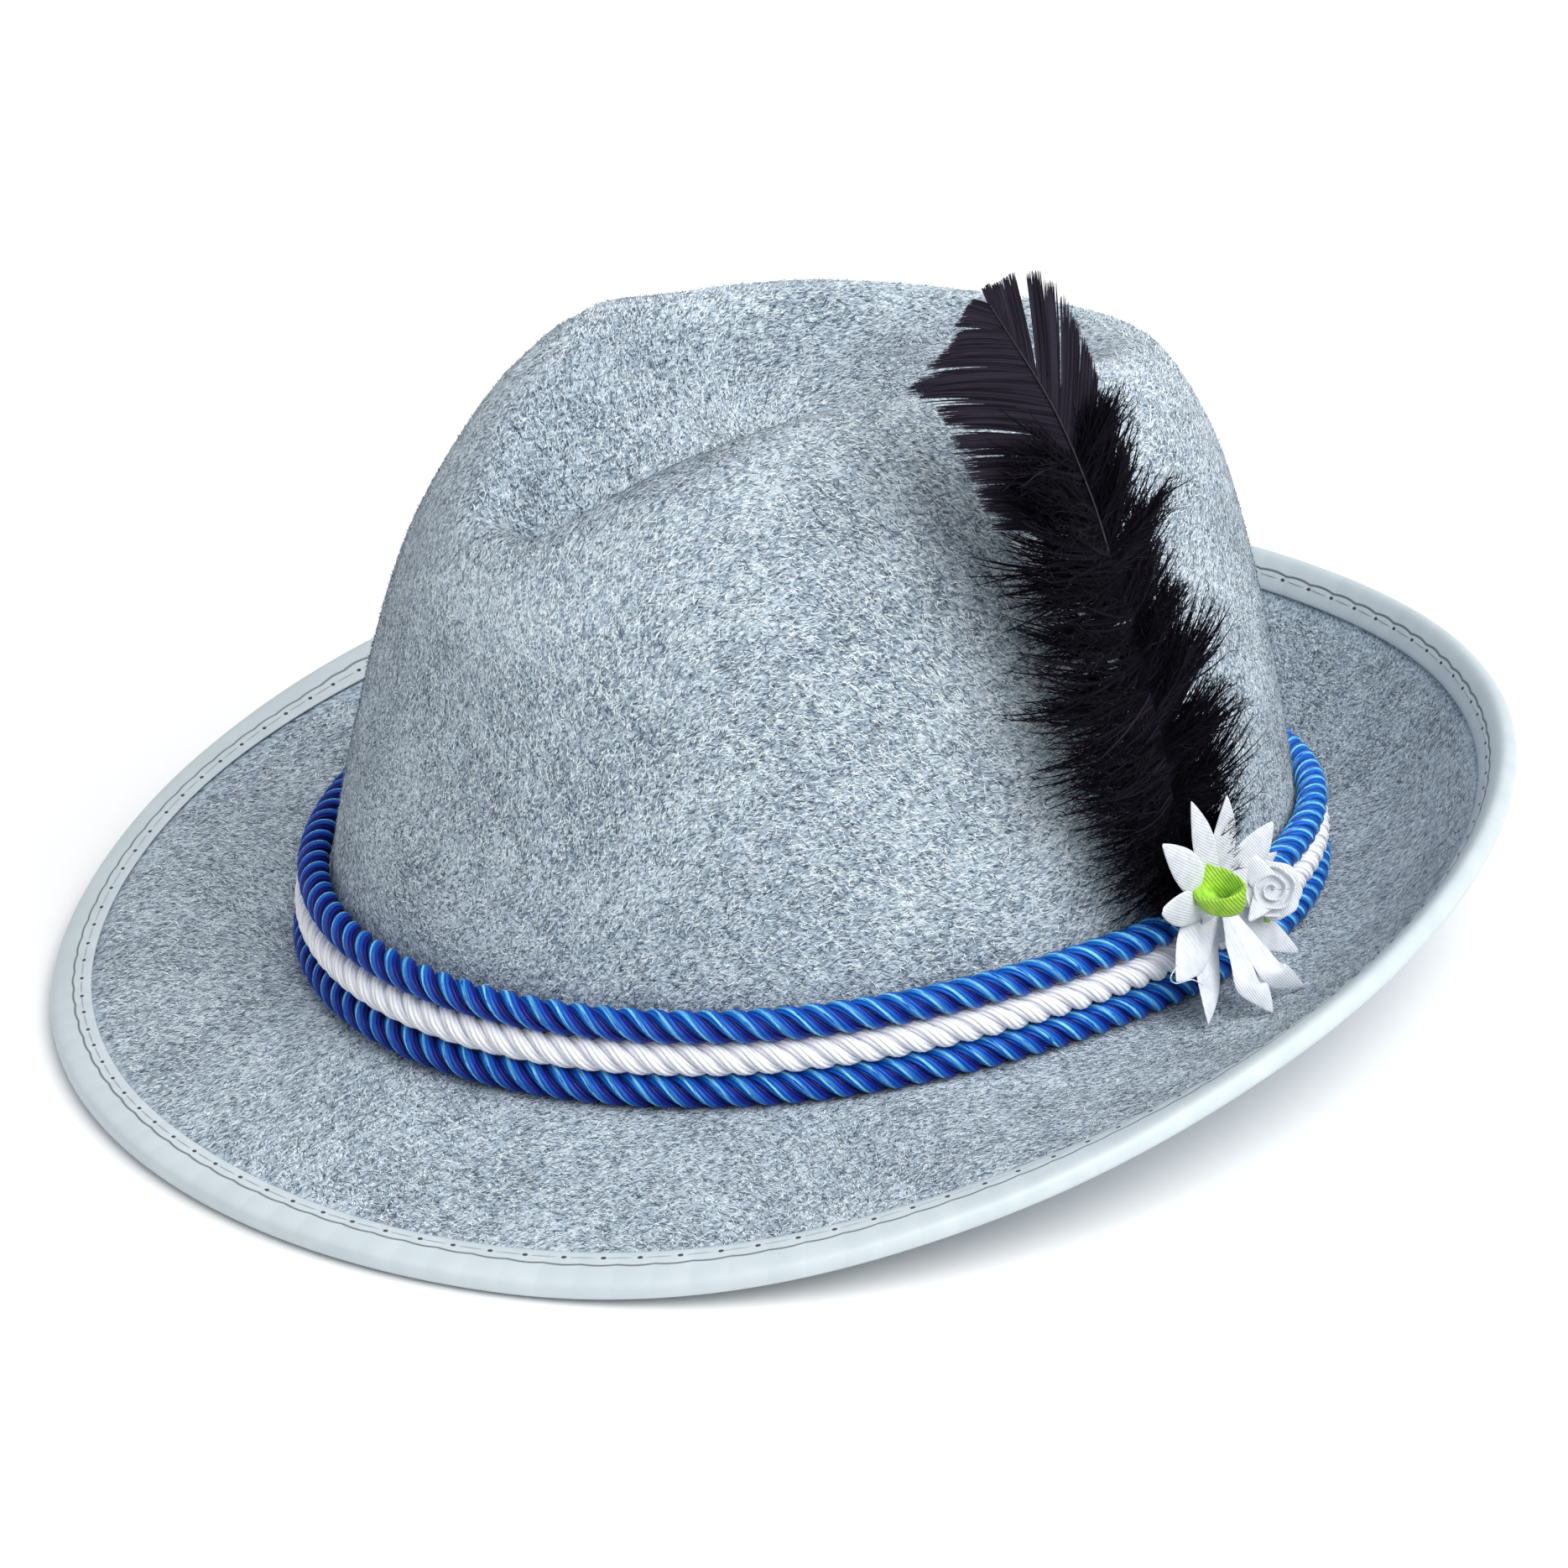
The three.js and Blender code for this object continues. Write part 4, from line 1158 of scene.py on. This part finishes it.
# green loop: a cup of ribbon, open upwards, its rings from the outer foot over the rim to the inner foot
cup = {"place": (96.1, 21.65, 37.06), "spike": 1.5, "wall": 0.45 * mm}
cupRings = [
    {"right": 1.4, "up": -3.5, "wide": 3.2, "tall": 1.3, "out": -2.4},
    {"right": 0.7, "up": -2.0, "wide": 4.4, "tall": 2.6, "out": -1.0},
    {"right": -0.2, "up": 0.6, "wide": 4.9, "tall": 3.2, "out": 0.6},
    {"right": -0.3, "up": 1.3, "wide": 4.7, "tall": 3.1, "out": 1.0},
    {"right": 0.2, "up": 0.6, "wide": 3.7, "tall": 2.4, "out": 0.1},
    {"right": 1.1, "up": -0.8, "wide": 1.3, "tall": 0.7, "out": -2.0},
]


def greenLoop(size, rings):
    turn = np.linspace(0, 2 * math.pi, 41)[:, None]
    places = np.arange(len(rings))
    goal = np.linspace(0, len(rings) - 1, 16)
    right, up, wide, tall, out = (
        np.interp(goal, places, [row[key] for row in rings])[None, :]
        for key in ("right", "up", "wide", "tall", "out")
    )
    rim = np.exp(-((goal - 2.6) / 0.9) ** 2)[None, :]
    spike = size["spike"] * np.exp(-((turn - 1.95) / 0.13) ** 2) * rim
    corner = 0.5 * np.cos(3 * turn + 0.6) * rim
    fold = -1.0 * np.sin(turn) * np.interp(goal, [0, 3, 5], [1, 1, 0.3])[None, :]
    level = right + (wide + corner) * np.cos(turn)
    rise = up + (tall + 0.4 * corner) * np.sin(turn) + spike
    return facingPoint(size["place"], level, rise, out + fold)


rose = {
    "place": (93.3, 38.3, 30.6),
    "radius": 5.6,
    "squat": 0.94,
    "turns": 2.7,
    "height": 1.9,
    "wall": 0.35 * mm,
    "flapWall": 0.3 * mm,
}
# loose ends of the rose's ribbon: from the rose's middle to the tip, as turn and reach, with half width
flaps = [
    {"turn": 132, "reach": 8.8, "half": 2.7, "lift": 2.6, "point": 0.25},
    {"turn": 233, "reach": 7.4, "half": 2.9, "lift": 2.2, "point": 0.9},
    {"turn": 180, "reach": 6.2, "half": 4.0, "lift": 0.0, "point": 0.1},
    {"turn": 20, "reach": 5.6, "half": 4.4, "lift": -0.4, "point": 0.1},
    {"turn": 300, "reach": 5.8, "half": 4.2, "lift": -0.4, "point": 0.1},
    {"turn": 80, "reach": 5.4, "half": 4.0, "lift": -0.2, "point": 0.1},
]


def roseSpiral(size):
    share = np.linspace(0, 1, 100)[:, None]
    rise = np.linspace(0, 1, 6)[None, :]
    angle = 2 * math.pi * size["turns"] * share + 0.6
    reach = 0.5 + (size["radius"] - 1.3) * share ** 0.9
    lean = (0.3 + 0.7 * share) * rise ** 1.6
    wobble = 0.22 * np.sin(5 * angle) * share
    right = (reach + lean + wobble) * np.cos(angle)
    up = size["squat"] * (reach + lean + wobble) * np.sin(angle)
    out = size["height"] * rise * (1 - 0.45 * share) + 0.5 * (1 - share)
    return facingPoint(size["place"], right, up, out)


def roseHeart(size):
    turn = np.linspace(0, 2 * math.pi, 33)[:, None]
    reach = np.linspace(0.02, 1, 7)[None, :]
    radius = size["radius"] - 0.6
    right = radius * reach * np.cos(turn)
    up = size["squat"] * radius * reach * np.sin(turn)
    out = 1.3 * (1 - reach ** 2) - 0.4
    return facingPoint(size["place"], right, up, out)


def roseFlap(size, row):
    t = np.linspace(0, 1, 11)[:, None]
    w = np.linspace(-1, 1, 9)[None, :]
    angle = math.radians(row["turn"])
    ends = np.sqrt(np.clip(1 - (1 - row["point"]) * 0.8 * t ** 5, 0.05, 1))
    across = row["half"] * w * (1 - row["point"] * t ** 1.6) * ends
    right = row["reach"] * t * math.cos(angle) - across * math.sin(angle)
    up = row["reach"] * t * math.sin(angle) + across * math.cos(angle)
    out = 0.2 + row["lift"] * t + 0.5 * (1 - w ** 2) * t
    return facingPoint(size["place"], right, up, out)


loopMesh = sheetPiece("greenLoop", greenLoop(cup, cupRings), cup["wall"])
tail = {"turn": 262, "reach": 6.3, "half": 1.2, "lift": -1.2, "point": 0.4}
tailMesh = sheetPiece("greenTail", roseFlap(rose, tail), rose["flapWall"])
finishPiece(joinPieces([loopMesh, tailMesh], "greenLoop"), "ribbon_green", greenMat, "leaf_loop")
roseParts = [
    sheetPiece("roseSpiral", roseSpiral(rose), rose["wall"]),
    sheetPiece("roseHeart", roseHeart(rose), rose["wall"]),
]
for row in flaps:
    roseParts.append(sheetPiece("roseFlap%d" % row["turn"], roseFlap(rose, row), rose["flapWall"]))
finishPiece(joinPieces(roseParts, "satinRose"), "satin_white", satinMat, "ribbon_rose")

# a loose end of thread under the lower petals
looseEnd = [
    (101.5, 6.1, 29.1),
    (102.0, 3.8, 27.4),
    (101.6, 5.6, 25.4),
    (100.7, 10.4, 24.1),
    (99.9, 14.3, 21.6),
    (99.5, 16.7, 23.3),
]
looseThread = tube("looseThread", openLine(looseEnd, 60) * mm, np.full(60, 0.13 * mm), 6)
finishPiece(looseThread, "satin_white", satinMat)
print("flower is made")


# floor, backdrop and light
stageLook = {
    "floor": (0.97, 0.97, 0.97),
    "floorSize": 14,
    "world": (0.93, 0.96, 1.0),
    "worldStrength": 0.49,
}
keyLook = {"energy": 3.05, "angle": math.radians(64), "color": (1.0, 0.995, 0.98)}
fillLook = {"shape": "DISK", "size": 1.0, "energy": 0.8, "color": (0.95, 0.98, 1.0)}


def addFloor(look):
    bpy.ops.mesh.primitive_plane_add(size=look["floorSize"])
    floor = bpy.context.object
    floor.name = "floor"
    floor.data.materials.append(plainMaterial("floorMaterial", look["floor"], 0.9))


def addWorld(look):
    world = bpy.data.worlds.new("softWorld")
    world.use_nodes = True
    sky = world.node_tree.nodes["Background"]
    setInputs(sky, {"Color": (*look["world"], 1), "Strength": look["worldStrength"]})
    bpy.context.scene.world = world


def addLamp(name, kind, place, aim, look):
    bpy.ops.object.light_add(type=kind, location=place)
    lamp = bpy.context.object
    lamp.name = name
    for key, value in look.items():
        setattr(lamp.data, key, value)
    away = Vector(place) - Vector(aim)
    lamp.rotation_euler = away.to_track_quat("Z", "Y").to_euler()


addFloor(stageLook)
addWorld(stageLook)
addLamp("keyLight", "SUN", (1.24, 0.34, 1.532), (0, 0, 0), keyLook)
addLamp("fillLight", "AREA", (-0.6, -1.3, 0.8), (0, 0, 0.06), fillLook)
bpy.context.scene.view_settings.view_transform = "Standard"
bpy.context.scene.view_settings.look = "None"
print("stage is lit")
